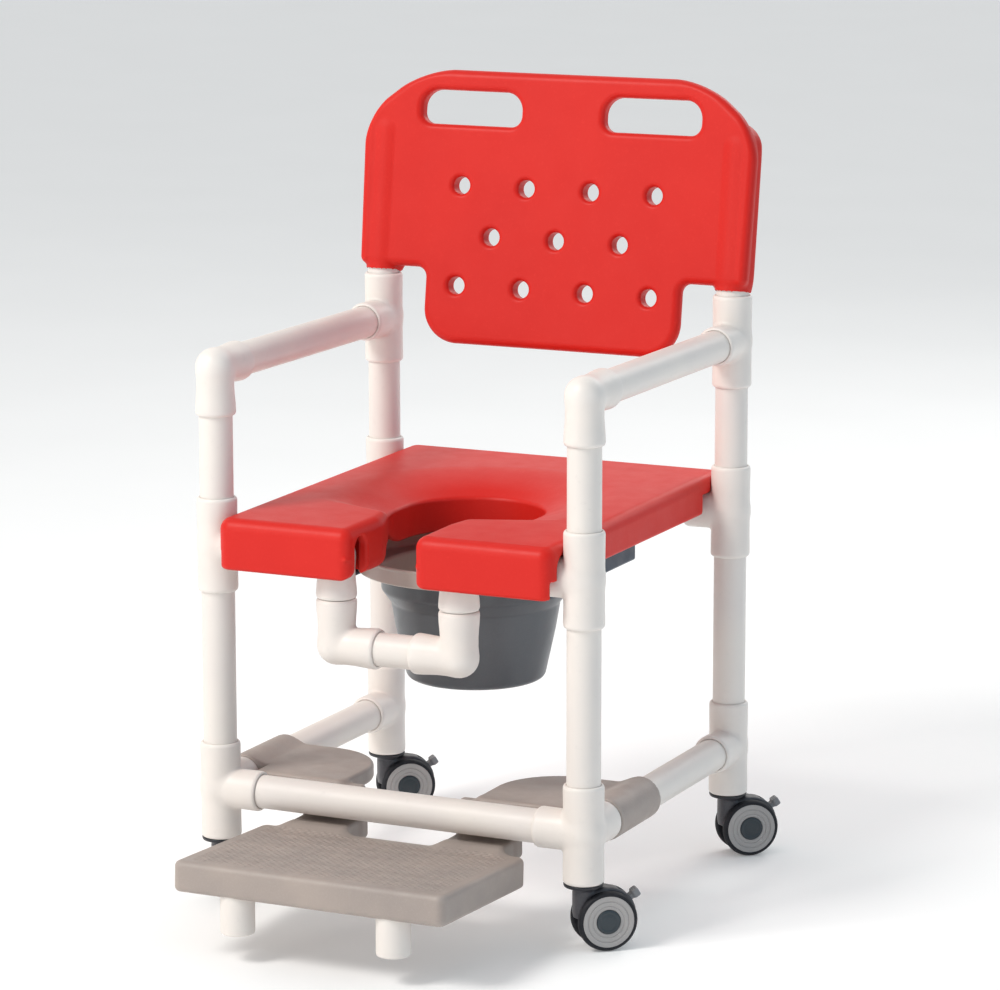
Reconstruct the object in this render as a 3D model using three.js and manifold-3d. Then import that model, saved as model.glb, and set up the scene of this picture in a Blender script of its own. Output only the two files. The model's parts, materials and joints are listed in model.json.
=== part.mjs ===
// A wheeled shower commode chair on a frame of moulded pipe fittings and plastic pipe.
// Millimetres, +Z up, the sitter faces -Y, +X is on the right of somebody facing the chair.
// Inside this file the frame's mid-plane is X = 0 and its four posts stand round the Z axis;
// the last lines move the whole chair so that the floor below its centre is the origin.

import * as THREE from 'three';
import { mergeVertices } from 'three/addons/utils/BufferGeometryUtils.js';
import Module from 'manifold-3d';

const wasm = await Module();
wasm.setup();

// ---- driving dimensions ----

const PIPE_R = 21.1;              // 1 1/4 inch furniture-grade pipe
const PIPE_BORE_R = 17.5;
const FITTING_R = 25.1;
const FITTING_REACH = 59.5;       // centre of a fitting to the end of each socket
const SOCKET_R = 21.5;
const SOCKET_DEPTH = 32;
const INSERTION = 30;             // how far a pipe goes into a socket
const SIDES = 16;                 // sides of every round pipe and fitting

const POST_X = 250.75;
const POST_Y = 231.75;
const LOWER_RAIL_Z = 147;
const SEAT_RAIL_Z = 460.5;
const ARM_Z = 683;
const BOTTOM_REACH = 63.5;        // lower rail axis down to the underside of a bottom fitting

const DROP_X = 84;                // the front seat rail dips between these two uprights
const DROP_Z = 346.8;
const DROP_UPPER_REACH = 53.6;
const DROP_STUB_REACH = 40;

const SEAT_X = 228;
const SEAT_FRONT_Y = -278;
const SEAT_REAR_Y = 268;
const SEAT_TOP_Z = 505;
const SEAT_UNDERSIDE_Z = 456;
const SEAT_SKIRT_Z = 438;
const SEAT_CORNER_R = 14;
const SEAT_RIM_ROUNDING = 10;
const FRONT_SKIRT_Y = -157;       // rear side of the deep front part of the underside
const FRONT_WALL = 8;             // the front skirt's wall ahead of the rail
const HORN_WALL_X = 57;           // each horn is closed from here to the gap, but for a slot
const HORN_SLOT_R = 15.5;
const OPENING_R = 92;
const OPENING_Y = -18;
const FRONT_GAP_X = 43.5;
const THROAT_LENGTHS = [150, 110, 30];  // where the gap flares into the opening, ahead of its centre
const DISH_Y = -38;               // the top falls towards the opening in a shallow cone
const DISH_DEPTH = 22;
const DISH_SLANT = 42;
const CHANNEL_R = 25.7;           // underside channels that sit over the seat rails
const NOTCH_TOP_Z = 484.5;        // the side walls are notched for the rear tees' branches
const REAR_NOTCH_X = 203;
const REAR_NOTCH_Y = 195;
const CLEAR = 5;                  // how far a cutting tool runs past the solid it cuts

const BACK_LEAN = THREE.MathUtils.degToRad(8);
const BACK_BASE_Z = ARM_Z + FITTING_REACH;
const BACK_SLEEVE_R = 23.4;
const BACK_THICKNESS = 22;
const BACK_PROUD = 10;            // the panel's front face stands ahead of the sleeve axes
const SLEEVE_FOOT_H = 4;          // H runs up the leaning panel from the arm tees' tops
const SLEEVE_TOP_H = 198;
const BACK_BORE_H = 190;
const BACK_POST_H = 185;
const BACK_TOP_H = 272;
const BACK_BOTTOM_H = -88;
const BACK_WING_H = 10;           // underside of the wings that carry the sleeves
const BACK_TONGUE_X = 183;
const BACK_EDGE_X = 280;
const BACK_SHOULDER_H = 208;
const BACK_SHOULDER_X = 200;
const HAND_SLOT_X = [59, 199];
const HAND_SLOT_H = [200, 245];
const LOWEST_HOLES_H = -11.5;
const HOLE_PITCH_X = 92;
const HOLE_PITCH_H = 66;
const HOLE_R = 12;

const PAIL_Y = -9;
const PAIL_FLANGE_R = 151;
const PAIL_FLANGE_Z = 409;
const PAIL_RIM_Z = 431;
const PAIL_BOTTOM_Z = 268;
const PAIL_BOTTOM_R = 91;
const PAIL_TOP_R = 119;
const PAIL_WALL = 4;
const GUIDE_FRONT_Y = -120;
const GUIDE_REAR_Y = 140;
const GUIDE_LEDGE_X = 126;
const GUIDE_WALL = 4;
const GUIDE_FLANGE = 18;

const FOOTREST_X = 182;
const FOOTREST_FRONT_Y = -479;
const FOOTREST_REAR_Y = -247;
const FOOTREST_REAR_TOP_Z = 111;
const FOOTREST_THICKNESS = 38;
const FOOTREST_RISE = THREE.MathUtils.degToRad(2.8);
const ARM_X = [67, 147];          // the arms that carry the platform from the wings
const ARM_FRONT_Y = -262;
const ARM_REAR_Y = -186;
const ARM_UNDERSIDE_Z = 92;
const ARM_TOP_Z = 118;
const ARM_RAMP = [12, 10];        // run and rise of each arm's sloping front end
const WING_INNER_X = 91;
const WING_OUTER_X = 235;
const WING_FRONT_Y = -205;
const WING_CORNER_R = 90;
const WING_Z = [145, 164];
const WING_NOTCH_X = 218;         // the wings clear the front corner fittings from here outwards
const SLEEVE_R = 27;
const SLEEVE_BORE_R = 21.6;
const SLEEVE_FRONT_Y = -171.5;
const SLEEVE_REAR_Y = -55;
const FOOT_X = 105;
const FOOT_Y = -456;
const FOOT_BOTTOM_Z = 36;
const FOOT_TOP_Z = 105;
const FOOT_PLUG = 5;

const WHEEL_R = 37.5;
const WHEEL_INNER = 11.5;         // inner and outer faces of a wheel, from the caster's middle
const WHEEL_OUTER = 24;
const CASTER_TRAIL = 26;
const CASTER_HEADING = THREE.MathUtils.degToRad(40);  // trail direction, anticlockwise from +X
const HOOD_R = 39.5;
const HOOD_GAP = 1;               // between the hood and each wheel
const HOOD_CUT_Z = 15;
const SHOULDER_X = -11;           // the hood's shoulder reaches past the swivel axis
const SHOULDER_Z = [44, 75.2];
const NECK_TOP_Z = 78.2;
const NECK_R = [14, 17];
const PEDAL_SLOT_X = 43;
const PEDAL_SLOT_Z = 46;
const PEDAL_PIVOT = [46.5, 54.5];
const PEDAL_ANGLE = THREE.MathUtils.degToRad(32);
const AXLE_R = 4.6;
const STEM_R = 5.5;
const GAP = 0.3;

// ---- solids ----

const AXIS = {
  X: new THREE.Vector3(1, 0, 0),
  Y: new THREE.Vector3(0, 1, 0),
  Z: new THREE.Vector3(0, 0, 1),
};
const point = (x, y, z) => new THREE.Vector3(x, y, z);

function solidOf(geometry) {
  geometry.deleteAttribute('normal');
  geometry.deleteAttribute('uv');
  const merged = mergeVertices(geometry, 1e-4);
  return new wasm.Manifold(new wasm.Mesh({
    numProp: 3,
    vertProperties: new Float32Array(merged.attributes.position.array),
    triVerts: new Uint32Array(merged.index.array),
  }));
}

function geometryOf(solid) {
  const mesh = solid.getMesh();
  const geometry = new THREE.BufferGeometry();
  geometry.setAttribute('position', new THREE.BufferAttribute(mesh.vertProperties, 3));
  geometry.setIndex(new THREE.BufferAttribute(mesh.triVerts, 1));
  geometry.computeVertexNormals();
  return geometry;
}

const union = (...solids) => solids.reduce((whole, next) => whole.add(next));

function rod(from, to, radius, radiusAtEnd = radius, sides = SIDES) {
  const along = to.clone().sub(from);
  const length = along.length();
  const geometry = new THREE.CylinderGeometry(radiusAtEnd, radius, length, sides);
  const turn = new THREE.Quaternion().setFromUnitVectors(AXIS.Y, along.normalize());
  const middle = from.clone().lerp(to, 0.5);
  geometry.applyMatrix4(new THREE.Matrix4().compose(middle, turn, point(1, 1, 1)));
  return solidOf(geometry);
}

function block(xRange, yRange, zRange) {
  const size = [xRange, yRange, zRange].map(([low, high]) => high - low);
  const centre = [xRange, yRange, zRange].map(([low, high]) => (low + high) / 2);
  const geometry = new THREE.BoxGeometry(...size);
  geometry.translate(...centre);
  return solidOf(geometry);
}

function ball(centre, radius) {
  const geometry = new THREE.SphereGeometry(radius, SIDES, SIDES / 2);
  geometry.rotateX(Math.PI / 2);
  geometry.translate(centre.x, centre.y, centre.z);
  return solidOf(geometry);
}

// A flat outline in X and Y, raised between two heights, with its rims rounded off.
function slab(shape, low, high, rounding = 0, segments = 2) {
  const geometry = new THREE.ExtrudeGeometry(shape, {
    depth: high - low - 2 * rounding,
    bevelEnabled: rounding > 0,
    bevelThickness: rounding,
    bevelSize: rounding,
    bevelOffset: -rounding,
    bevelSegments: segments,
    curveSegments: 4,
  });
  geometry.translate(0, 0, low + rounding);
  return solidOf(geometry);
}

// A closed outline through corner points [x, y, radius], each corner rounded by its radius.
function roundedOutline(corners) {
  const path = new THREE.Shape();
  corners.forEach(([x, y, radius], index) => {
    const corner = new THREE.Vector2(x, y);
    const before = corners[(index + corners.length - 1) % corners.length];
    const after = corners[(index + 1) % corners.length];
    const towards = (other) => new THREE.Vector2(other[0], other[1]).sub(corner).normalize();
    const opening = towards(before).angleTo(towards(after));
    const setback = radius / Math.tan(opening / 2);
    const start = corner.clone().addScaledVector(towards(before), setback);
    const end = corner.clone().addScaledVector(towards(after), setback);
    if (index === 0) {
      path.moveTo(start.x, start.y);
    } else {
      path.lineTo(start.x, start.y);
    }
    if (radius > 0) {
      path.quadraticCurveTo(x, y, end.x, end.y);
    }
  });
  path.closePath();
  return path;
}

// A turned solid on the Z axis, from a half section of [radius, height] points.
function turned(profile, sides) {
  const geometry = new THREE.LatheGeometry(profile.map(([r, z]) => new THREE.Vector2(r, z)), sides);
  geometry.rotateX(Math.PI / 2);
  return solidOf(geometry);
}

// A range on the chair's right, or its mirror image on the left.
const onSide = (sx, [low, high]) => (sx > 0 ? [low, high] : [-high, -low]);

// ---- materials and the scene graph ----

const MATERIALS = {
  pipe: { color: 0xece6e0, roughness: 0.35, metalness: 0 },
  seat: { color: 0xd62f28, roughness: 0.45, metalness: 0 },
  pail: { color: 0x8a8580, roughness: 0.4, metalness: 0 },
  guide: { color: 0x3c4650, roughness: 0.5, metalness: 0 },
  footrest: { color: 0xa89a90, roughness: 0.6, metalness: 0 },
  housing: { color: 0x6a6c70, roughness: 0.45, metalness: 0 },
  insert: { color: 0x1b1c20, roughness: 0.6, metalness: 0 },
  wheel: { color: 0x202227, roughness: 0.7, metalness: 0 },
  pedal: { color: 0x77797c, roughness: 0.5, metalness: 0 },
};

const chair = new THREE.Group();

function addPart(name, material, solid, group = chair) {
  const mesh = new THREE.Mesh(geometryOf(solid), new THREE.MeshStandardMaterial(MATERIALS[material]));
  mesh.name = name;
  group.add(mesh);
}

// ---- pipes and fittings ----

// A moulded fitting: one socketed arm for each [direction, reach] pair.
function fitting(centre, arms) {
  const ends = arms.map(([direction, reach]) => centre.clone().addScaledVector(direction, reach));
  const arm = ends.map((end) => rod(centre, end, FITTING_R));
  const sockets = arms.map(([direction], index) => rod(
    ends[index].clone().addScaledVector(direction, -SOCKET_DEPTH),
    ends[index].clone().addScaledVector(direction, 1),
    SOCKET_R,
  ));
  const isElbow = arms.length === 2;
  const body = isElbow ? union(ball(centre, FITTING_R), ...arm) : union(...arm);
  return body.subtract(union(...sockets));
}

function pipe(from, to) {
  const along = to.clone().sub(from).normalize();
  const bore = rod(from.clone().sub(along), to.clone().add(along), PIPE_BORE_R);
  return rod(from, to, PIPE_R).subtract(bore);
}

// A pipe between two fitting centres, pushed into the socket at each end.
function pipeBetween(centreA, centreB, reachA = FITTING_REACH, reachB = FITTING_REACH) {
  const along = centreB.clone().sub(centreA).normalize();
  return pipe(
    centreA.clone().addScaledVector(along, reachA - INSERTION),
    centreB.clone().addScaledVector(along, INSERTION - reachB),
  );
}

const UP = AXIS.Z;
const DOWN = AXIS.Z.clone().negate();
const FORE = AXIS.Y.clone().negate();
const AFT = AXIS.Y;
const SIDES_OF_CHAIR = [['left', -1], ['right', 1]];
const ENDS_OF_CHAIR = [['front', -1], ['rear', 1]];

for (const [side, sx] of SIDES_OF_CHAIR) {
  const inward = point(-sx, 0, 0);
  for (const [end, sy] of ENDS_OF_CHAIR) {
    const post = (z) => point(sx * POST_X, sy * POST_Y, z);
    const low = post(LOWER_RAIL_Z);
    const middle = post(SEAT_RAIL_Z);
    const high = post(ARM_Z);
    const isFront = end === 'front';
    const lowArms = [[UP, FITTING_REACH], [DOWN, BOTTOM_REACH], [isFront ? AFT : FORE, FITTING_REACH]];
    if (isFront) {
      lowArms.push([inward, FITTING_REACH]);
    }
    addPart(`bottom_fitting_${end}_${side}`, 'pipe', fitting(low, lowArms));
    addPart(`lower_post_${end}_${side}`, 'pipe', pipeBetween(low, middle));
    addPart(`seat_tee_${end}_${side}`, 'pipe', fitting(middle, [
      [UP, FITTING_REACH],
      [DOWN, FITTING_REACH],
      [inward, FITTING_REACH],
    ]));
    addPart(`upper_post_${end}_${side}`, 'pipe', pipeBetween(middle, high));
  }
  const frontArm = point(sx * POST_X, -POST_Y, ARM_Z);
  const rearArm = point(sx * POST_X, POST_Y, ARM_Z);
  addPart(`arm_elbow_${side}`, 'pipe', fitting(frontArm, [[DOWN, FITTING_REACH], [AFT, FITTING_REACH]]));
  addPart(`arm_tee_${side}`, 'pipe', fitting(rearArm, [
    [DOWN, FITTING_REACH],
    [FORE, FITTING_REACH],
    [UP, FITTING_REACH],
  ]));
  addPart(`arm_rail_${side}`, 'pipe', pipeBetween(frontArm, rearArm));
  addPart(`side_lower_rail_${side}`, 'pipe', pipeBetween(
    point(sx * POST_X, -POST_Y, LOWER_RAIL_Z),
    point(sx * POST_X, POST_Y, LOWER_RAIL_Z),
  ));
  // One side of the dip in the front seat rail.
  const upper = point(sx * DROP_X, -POST_Y, SEAT_RAIL_Z);
  const lower = point(sx * DROP_X, -POST_Y, DROP_Z);
  const outward = point(sx, 0, 0);
  addPart(`front_seat_stub_${side}`, 'pipe', pipeBetween(
    point(sx * POST_X, -POST_Y, SEAT_RAIL_Z), upper, FITTING_REACH, DROP_STUB_REACH,
  ));
  addPart(`drop_elbow_upper_${side}`, 'pipe', fitting(upper, [
    [outward, DROP_STUB_REACH],
    [DOWN, DROP_UPPER_REACH],
  ]));
  addPart(`drop_elbow_lower_${side}`, 'pipe', fitting(lower, [
    [UP, FITTING_REACH],
    [inward, FITTING_REACH],
  ]));
}

addPart('front_lower_rail', 'pipe', pipeBetween(
  point(-POST_X, -POST_Y, LOWER_RAIL_Z), point(POST_X, -POST_Y, LOWER_RAIL_Z),
));
addPart('rear_seat_rail', 'pipe', pipeBetween(
  point(-POST_X, POST_Y, SEAT_RAIL_Z), point(POST_X, POST_Y, SEAT_RAIL_Z),
));
addPart('drop_crossbar', 'pipe', pipeBetween(
  point(-DROP_X, -POST_Y, DROP_Z), point(DROP_X, -POST_Y, DROP_Z),
));

// ---- seat ----

function seatOutline() {
  const x = SEAT_X;
  const [front, rear] = [SEAT_FRONT_Y, SEAT_REAR_Y];
  const corner = SEAT_CORNER_R;
  const [start, bend, end] = THROAT_LENGTHS.map((length) => OPENING_Y - length);
  const shape = new THREE.Shape();
  shape.moveTo(FRONT_GAP_X, front);
  shape.lineTo(x - corner, front);
  shape.quadraticCurveTo(x, front, x, front + corner);
  shape.lineTo(x, rear - corner);
  shape.quadraticCurveTo(x, rear, x - corner, rear);
  shape.lineTo(corner - x, rear);
  shape.quadraticCurveTo(-x, rear, -x, rear - corner);
  shape.lineTo(-x, front + corner);
  shape.quadraticCurveTo(-x, front, corner - x, front);
  shape.lineTo(-FRONT_GAP_X, front);
  shape.lineTo(-FRONT_GAP_X, start);
  shape.quadraticCurveTo(-OPENING_R, bend, -OPENING_R, end);
  const facets = 8;
  for (let facet = 0; facet <= facets; facet += 1) {
    const angle = Math.PI * (1 - facet / facets);
    shape.lineTo(OPENING_R * Math.cos(angle), OPENING_Y + OPENING_R * Math.sin(angle));
  }
  shape.lineTo(OPENING_R, end);
  shape.quadraticCurveTo(OPENING_R, bend, FRONT_GAP_X, start);
  shape.closePath();
  return shape;
}

// A channel along X over a rail at y, open downwards between the two sides of its mouth.
function seatChannel(run, y, radius, mouth) {
  return union(
    rod(point(run[0], y, SEAT_RAIL_Z), point(run[1], y, SEAT_RAIL_Z), radius),
    block(run, mouth, [SEAT_SKIRT_Z - CLEAR, SEAT_RAIL_Z]),
  );
}

function seatChannels() {
  const end = SEAT_X + CLEAR;
  const around = (y, radius) => [y - radius, y + radius];
  const frontMouth = [SEAT_FRONT_Y + FRONT_WALL, CHANNEL_R - POST_Y];
  return union(
    seatChannel([-end, end], POST_Y, CHANNEL_R, around(POST_Y, CHANNEL_R)),
    seatChannel([-end, -HORN_WALL_X], -POST_Y, CHANNEL_R, frontMouth),
    seatChannel([HORN_WALL_X, end], -POST_Y, CHANNEL_R, frontMouth),
    seatChannel([-HORN_WALL_X, HORN_WALL_X], -POST_Y, HORN_SLOT_R, around(-POST_Y, HORN_SLOT_R)),
  );
}

// The seat is hollowed at its corners for the posts, and at the rear for the tees' branches.
function seatNotches() {
  return union(...SIDES_OF_CHAIR.flatMap(([, sx]) => {
    const rear = block(
      onSide(sx, [REAR_NOTCH_X, SEAT_X + CLEAR]),
      [REAR_NOTCH_Y, SEAT_REAR_Y + CLEAR],
      [SEAT_SKIRT_Z - CLEAR, NOTCH_TOP_Z],
    );
    const posts = ENDS_OF_CHAIR.map(([, sy]) => rod(
      point(sx * POST_X, sy * POST_Y, SEAT_SKIRT_Z - CLEAR),
      point(sx * POST_X, sy * POST_Y, SEAT_TOP_Z + CLEAR),
      CHANNEL_R,
    ));
    return [rear, ...posts];
  }));
}

function seat() {
  const spare = 20;               // drawn below the skirts, then cut off square
  const floor = SEAT_SKIRT_Z - 2 * spare;
  const across = [-SEAT_X - CLEAR, SEAT_X + CLEAR];
  const outer = slab(seatOutline(), SEAT_SKIRT_Z - spare, SEAT_TOP_Z, SEAT_RIM_ROUNDING);
  const hollow = block(across, [FRONT_SKIRT_Y, POST_Y], [floor, SEAT_UNDERSIDE_Z]);
  const belowSkirts = block(across, [SEAT_FRONT_Y - CLEAR, SEAT_REAR_Y + CLEAR], [floor, SEAT_SKIRT_Z]);
  const dish = rod(
    point(0, DISH_Y, SEAT_TOP_Z - DISH_DEPTH),
    point(0, DISH_Y, SEAT_TOP_Z + CLEAR - 1),
    OPENING_R - 2, OPENING_R - 2 + DISH_SLANT, 24,
  );
  return outer
    .subtract(union(hollow, belowSkirts))
    .subtract(union(seatChannels(), seatNotches()))
    .subtract(dish);
}

addPart('seat', 'seat', seat());

// ---- backrest ----

// Backrest shapes are drawn flat, x across and y up the panel from the arm tees' tops,
// then stood up and leaned back about that line.
function standUp(solid) {
  const lean = new THREE.Matrix4().makeRotationX(-BACK_LEAN);
  const raise = new THREE.Matrix4().makeRotationX(Math.PI / 2);
  const place = new THREE.Matrix4().makeTranslation(0, POST_Y, BACK_BASE_Z);
  return solid.transform(place.multiply(lean).multiply(raise).elements);
}

function backOutline() {
  const half = [
    [BACK_TONGUE_X, BACK_BOTTOM_H, 45],
    [BACK_TONGUE_X, BACK_WING_H, 14],
    [BACK_EDGE_X - 4, BACK_WING_H, 9],
    [BACK_EDGE_X, BACK_SHOULDER_H, 34],
    [BACK_SHOULDER_X, BACK_TOP_H, 50],
  ];
  const mirrored = half.slice().reverse().map(([x, y, radius]) => [-x, y, radius]);
  return roundedOutline([...half, ...mirrored]);
}

// Cuts right through the panel, whose faces are well inside this range.
const THROUGH = [-60, 60];

function handSlot(sx) {
  const [[left, right], [low, high]] = [HAND_SLOT_X, HAND_SLOT_H];
  return slab(roundedOutline([
    [sx * left, low, 12],
    [sx * right, low, 12],
    [sx * right, high, 20],
    [sx * left, high, 20],
  ]), ...THROUGH);
}

// Three rows of drain holes, of four, three and four.
function drainHoles() {
  return [4, 3, 4].flatMap((count, row) => Array.from({ length: count }, (_, column) => {
    const x = (column - (count - 1) / 2) * HOLE_PITCH_X;
    const h = LOWEST_HOLES_H + row * HOLE_PITCH_H;
    return rod(point(x, h, THROUGH[0]), point(x, h, THROUGH[1]), HOLE_R, HOLE_R, 12);
  }));
}

function backPanel() {
  const panel = slab(backOutline(), BACK_PROUD - BACK_THICKNESS, BACK_PROUD, 6);
  const sleeves = SIDES_OF_CHAIR.map(([, sx]) => {
    const top = point(sx * POST_X, SLEEVE_TOP_H, 0);
    return union(rod(point(sx * POST_X, SLEEVE_FOOT_H, 0), top, BACK_SLEEVE_R), ball(top, BACK_SLEEVE_R));
  });
  const bores = SIDES_OF_CHAIR.map(([, sx]) => (
    rod(point(sx * POST_X, -CLEAR, 0), point(sx * POST_X, BACK_BORE_H, 0), SOCKET_R)
  ));
  return union(panel, ...sleeves)
    .subtract(union(...bores))
    .subtract(union(handSlot(-1), handSlot(1)))
    .subtract(union(...drainHoles()));
}

addPart('back_panel', 'seat', standUp(backPanel()));

// Each back post is one bent pipe: straight in the arm tee, leaned back inside its sleeve.
function backPost(sx) {
  const foot = point(sx * POST_X, POST_Y, BACK_BASE_Z - INSERTION);
  const bend = point(sx * POST_X, POST_Y, BACK_BASE_Z);
  const lean = point(0, Math.sin(BACK_LEAN), Math.cos(BACK_LEAN));
  const top = bend.clone().addScaledVector(lean, BACK_POST_H);
  const outside = union(rod(foot, bend, PIPE_R), ball(bend, PIPE_R), rod(bend, top, PIPE_R));
  const inside = union(
    rod(foot.clone().sub(UP), bend, PIPE_BORE_R),
    ball(bend, PIPE_BORE_R),
    rod(bend, top.clone().add(lean), PIPE_BORE_R),
  );
  return outside.subtract(inside);
}

for (const [side, sx] of SIDES_OF_CHAIR) {
  addPart(`back_post_${side}`, 'pipe', backPost(sx));
}

// ---- pail and its guides ----

// The pail's half section runs over its floor, tapered wall, collar and flange, and back inside.
function pail() {
  const shelf = PAIL_FLANGE_Z + PAIL_WALL;
  return turned([
    [0, PAIL_BOTTOM_Z], [PAIL_BOTTOM_R - 11, PAIL_BOTTOM_Z], [PAIL_BOTTOM_R, PAIL_BOTTOM_Z + 12],
    [PAIL_TOP_R, PAIL_FLANGE_Z - 9], [PAIL_TOP_R + 1, PAIL_FLANGE_Z],
    [PAIL_FLANGE_R, PAIL_FLANGE_Z], [PAIL_FLANGE_R, PAIL_RIM_Z],
    [PAIL_FLANGE_R - PAIL_WALL, PAIL_RIM_Z], [PAIL_FLANGE_R - PAIL_WALL, shelf],
    [PAIL_TOP_R + 1 - PAIL_WALL, shelf], [PAIL_BOTTOM_R - PAIL_WALL, PAIL_BOTTOM_Z + 14],
    [PAIL_BOTTOM_R - 13, PAIL_BOTTOM_Z + PAIL_WALL], [0, PAIL_BOTTOM_Z + PAIL_WALL],
  ], 24).translate([0, PAIL_Y, 0]);
}

addPart('pail', 'pail', pail());

// A guide hangs from the seat's underside; the pail's flange rides on its ledge.
function guide(sx) {
  const inner = PAIL_FLANGE_R + 1;
  const outer = inner + GUIDE_WALL;
  const ledge = [PAIL_FLANGE_Z - CLEAR, PAIL_FLANGE_Z - GAP];
  const hanger = [SEAT_UNDERSIDE_Z - CLEAR, SEAT_UNDERSIDE_Z - GAP];
  const along = [GUIDE_FRONT_Y, GUIDE_REAR_Y];
  return union(
    block(onSide(sx, [inner, outer]), along, [ledge[0], hanger[1]]),
    block(onSide(sx, [GUIDE_LEDGE_X, outer]), along, ledge),
    block(onSide(sx, [inner, outer + GUIDE_FLANGE]), along, hanger),
  );
}

for (const [side, sx] of SIDES_OF_CHAIR) {
  addPart(`pail_guide_${side}`, 'guide', guide(sx));
}

// ---- footrest ----

function footrestPlatform() {
  const length = FOOTREST_REAR_Y - FOOTREST_FRONT_Y;
  const tilt = new THREE.Matrix4().makeRotationX(-FOOTREST_RISE);
  const hinge = new THREE.Matrix4().makeTranslation(0, FOOTREST_REAR_Y, FOOTREST_REAR_TOP_Z);
  return slab(roundedOutline([
    [-FOOTREST_X, -length, 16],
    [FOOTREST_X, -length, 16],
    [FOOTREST_X, 0, 10],
    [-FOOTREST_X, 0, 10],
  ]), -FOOTREST_THICKNESS, 0, 5).transform(hinge.multiply(tilt).elements);
}

// An arm runs back under the front rail and turns up behind it; its outline is in Y and Z.
function footrestArm(sx) {
  const [run, rise] = ARM_RAMP;
  const outline = roundedOutline([
    [ARM_FRONT_Y, ARM_UNDERSIDE_Z, 0],
    [ARM_FRONT_Y, ARM_TOP_Z - rise, 0],
    [ARM_FRONT_Y + run, ARM_TOP_Z, 0],
    [WING_FRONT_Y, ARM_TOP_Z, 0],
    [WING_FRONT_Y, WING_Z[1] - 4, 0],
    [ARM_REAR_Y, WING_Z[1] - 4, 0],
    [ARM_REAR_Y, ARM_UNDERSIDE_Z, 0],
  ]);
  const stand = new THREE.Matrix4().makeBasis(AXIS.Y, AXIS.Z, AXIS.X);
  return slab(outline, ...onSide(sx, ARM_X)).transform(stand.elements);
}

function footrestWing(sx) {
  const plate = slab(roundedOutline([
    [sx * WING_INNER_X, WING_FRONT_Y, 10],
    [sx * WING_OUTER_X, WING_FRONT_Y, 10],
    [sx * WING_OUTER_X, SLEEVE_REAR_Y, 0],
    [sx * WING_INNER_X, SLEEVE_REAR_Y, WING_CORNER_R],
  ]), ...WING_Z);
  return plate.subtract(block(
    onSide(sx, [WING_NOTCH_X, WING_OUTER_X + CLEAR]),
    [WING_FRONT_Y - CLEAR, SLEEVE_FRONT_Y],
    [WING_Z[0] - CLEAR, WING_Z[1] + CLEAR],
  ));
}

function railSleeve(sx, radius, beyond) {
  return rod(
    point(sx * POST_X, SLEEVE_FRONT_Y - beyond, LOWER_RAIL_Z),
    point(sx * POST_X, SLEEVE_REAR_Y + beyond, LOWER_RAIL_Z),
    radius,
  );
}

function footSocket(sx) {
  const at = (z) => point(sx * FOOT_X, FOOT_Y, z);
  return rod(at(FOOT_BOTTOM_Z), at(FOOT_TOP_Z + 1), SOCKET_R);
}

function footrest() {
  const added = SIDES_OF_CHAIR.flatMap(([, sx]) => [
    footrestArm(sx), footrestWing(sx), railSleeve(sx, SLEEVE_R, 0),
  ]);
  const removed = SIDES_OF_CHAIR.flatMap(([, sx]) => [railSleeve(sx, SLEEVE_BORE_R, 1), footSocket(sx)]);
  return union(footrestPlatform(), ...added).subtract(union(...removed));
}

addPart('footrest', 'footrest', footrest());

// A foot is a length of pipe with a plugged lower end.
for (const [side, sx] of SIDES_OF_CHAIR) {
  const footAt = (z) => point(sx * FOOT_X, FOOT_Y, z);
  const outside = rod(footAt(FOOT_BOTTOM_Z), footAt(FOOT_TOP_Z), PIPE_R);
  const bore = rod(footAt(FOOT_BOTTOM_Z + FOOT_PLUG), footAt(FOOT_TOP_Z + 1), PIPE_BORE_R);
  addPart(`footrest_foot_${side}`, 'pipe', outside.subtract(bore));
}

// ---- casters ----

// Every caster is drawn with its swivel axis on Z and its trail along +X, then turned.
const FITTING_UNDERSIDE_Z = LOWER_RAIL_Z - BOTTOM_REACH;

// The insert is one turned bush: a flange under the fitting and a plug inside it.
function casterInsert() {
  const flangeBottom = NECK_TOP_Z + 0.4;
  const flangeTop = FITTING_UNDERSIDE_Z - GAP;
  const plugTop = FITTING_UNDERSIDE_Z + 29;
  const bore = STEM_R + GAP;
  return turned([
    [bore, flangeBottom], [18, flangeBottom], [23.5, flangeTop], [PIPE_R, flangeTop],
    [PIPE_R, plugTop], [bore, plugTop], [bore, flangeBottom],
  ], SIDES);
}

function casterHousing() {
  const hub = (s) => point(CASTER_TRAIL, s, WHEEL_R);
  const halfWidth = WHEEL_INNER - HOOD_GAP;
  const stemTop = FITTING_UNDERSIDE_Z + 27;
  return union(
    rod(hub(-halfWidth), hub(halfWidth), HOOD_R, HOOD_R, 18),
    block([SHOULDER_X, CASTER_TRAIL], [-halfWidth, halfWidth], SHOULDER_Z),
    rod(point(0, 0, SHOULDER_Z[1]), point(0, 0, NECK_TOP_Z), ...NECK_R),
    rod(point(0, 0, SHOULDER_Z[1] - CLEAR), point(0, 0, stemTop), STEM_R),
  )
    .subtract(rod(hub(-halfWidth - CLEAR), hub(halfWidth + CLEAR), AXLE_R + GAP))
    .subtract(block([-HOOD_R, 2 * HOOD_R], [-HOOD_R, HOOD_R], [-CLEAR, HOOD_CUT_Z]))
    .subtract(block([PEDAL_SLOT_X, 2 * HOOD_R], [-6.4, 6.4], [PEDAL_SLOT_Z, 2 * HOOD_R]));
}

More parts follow.
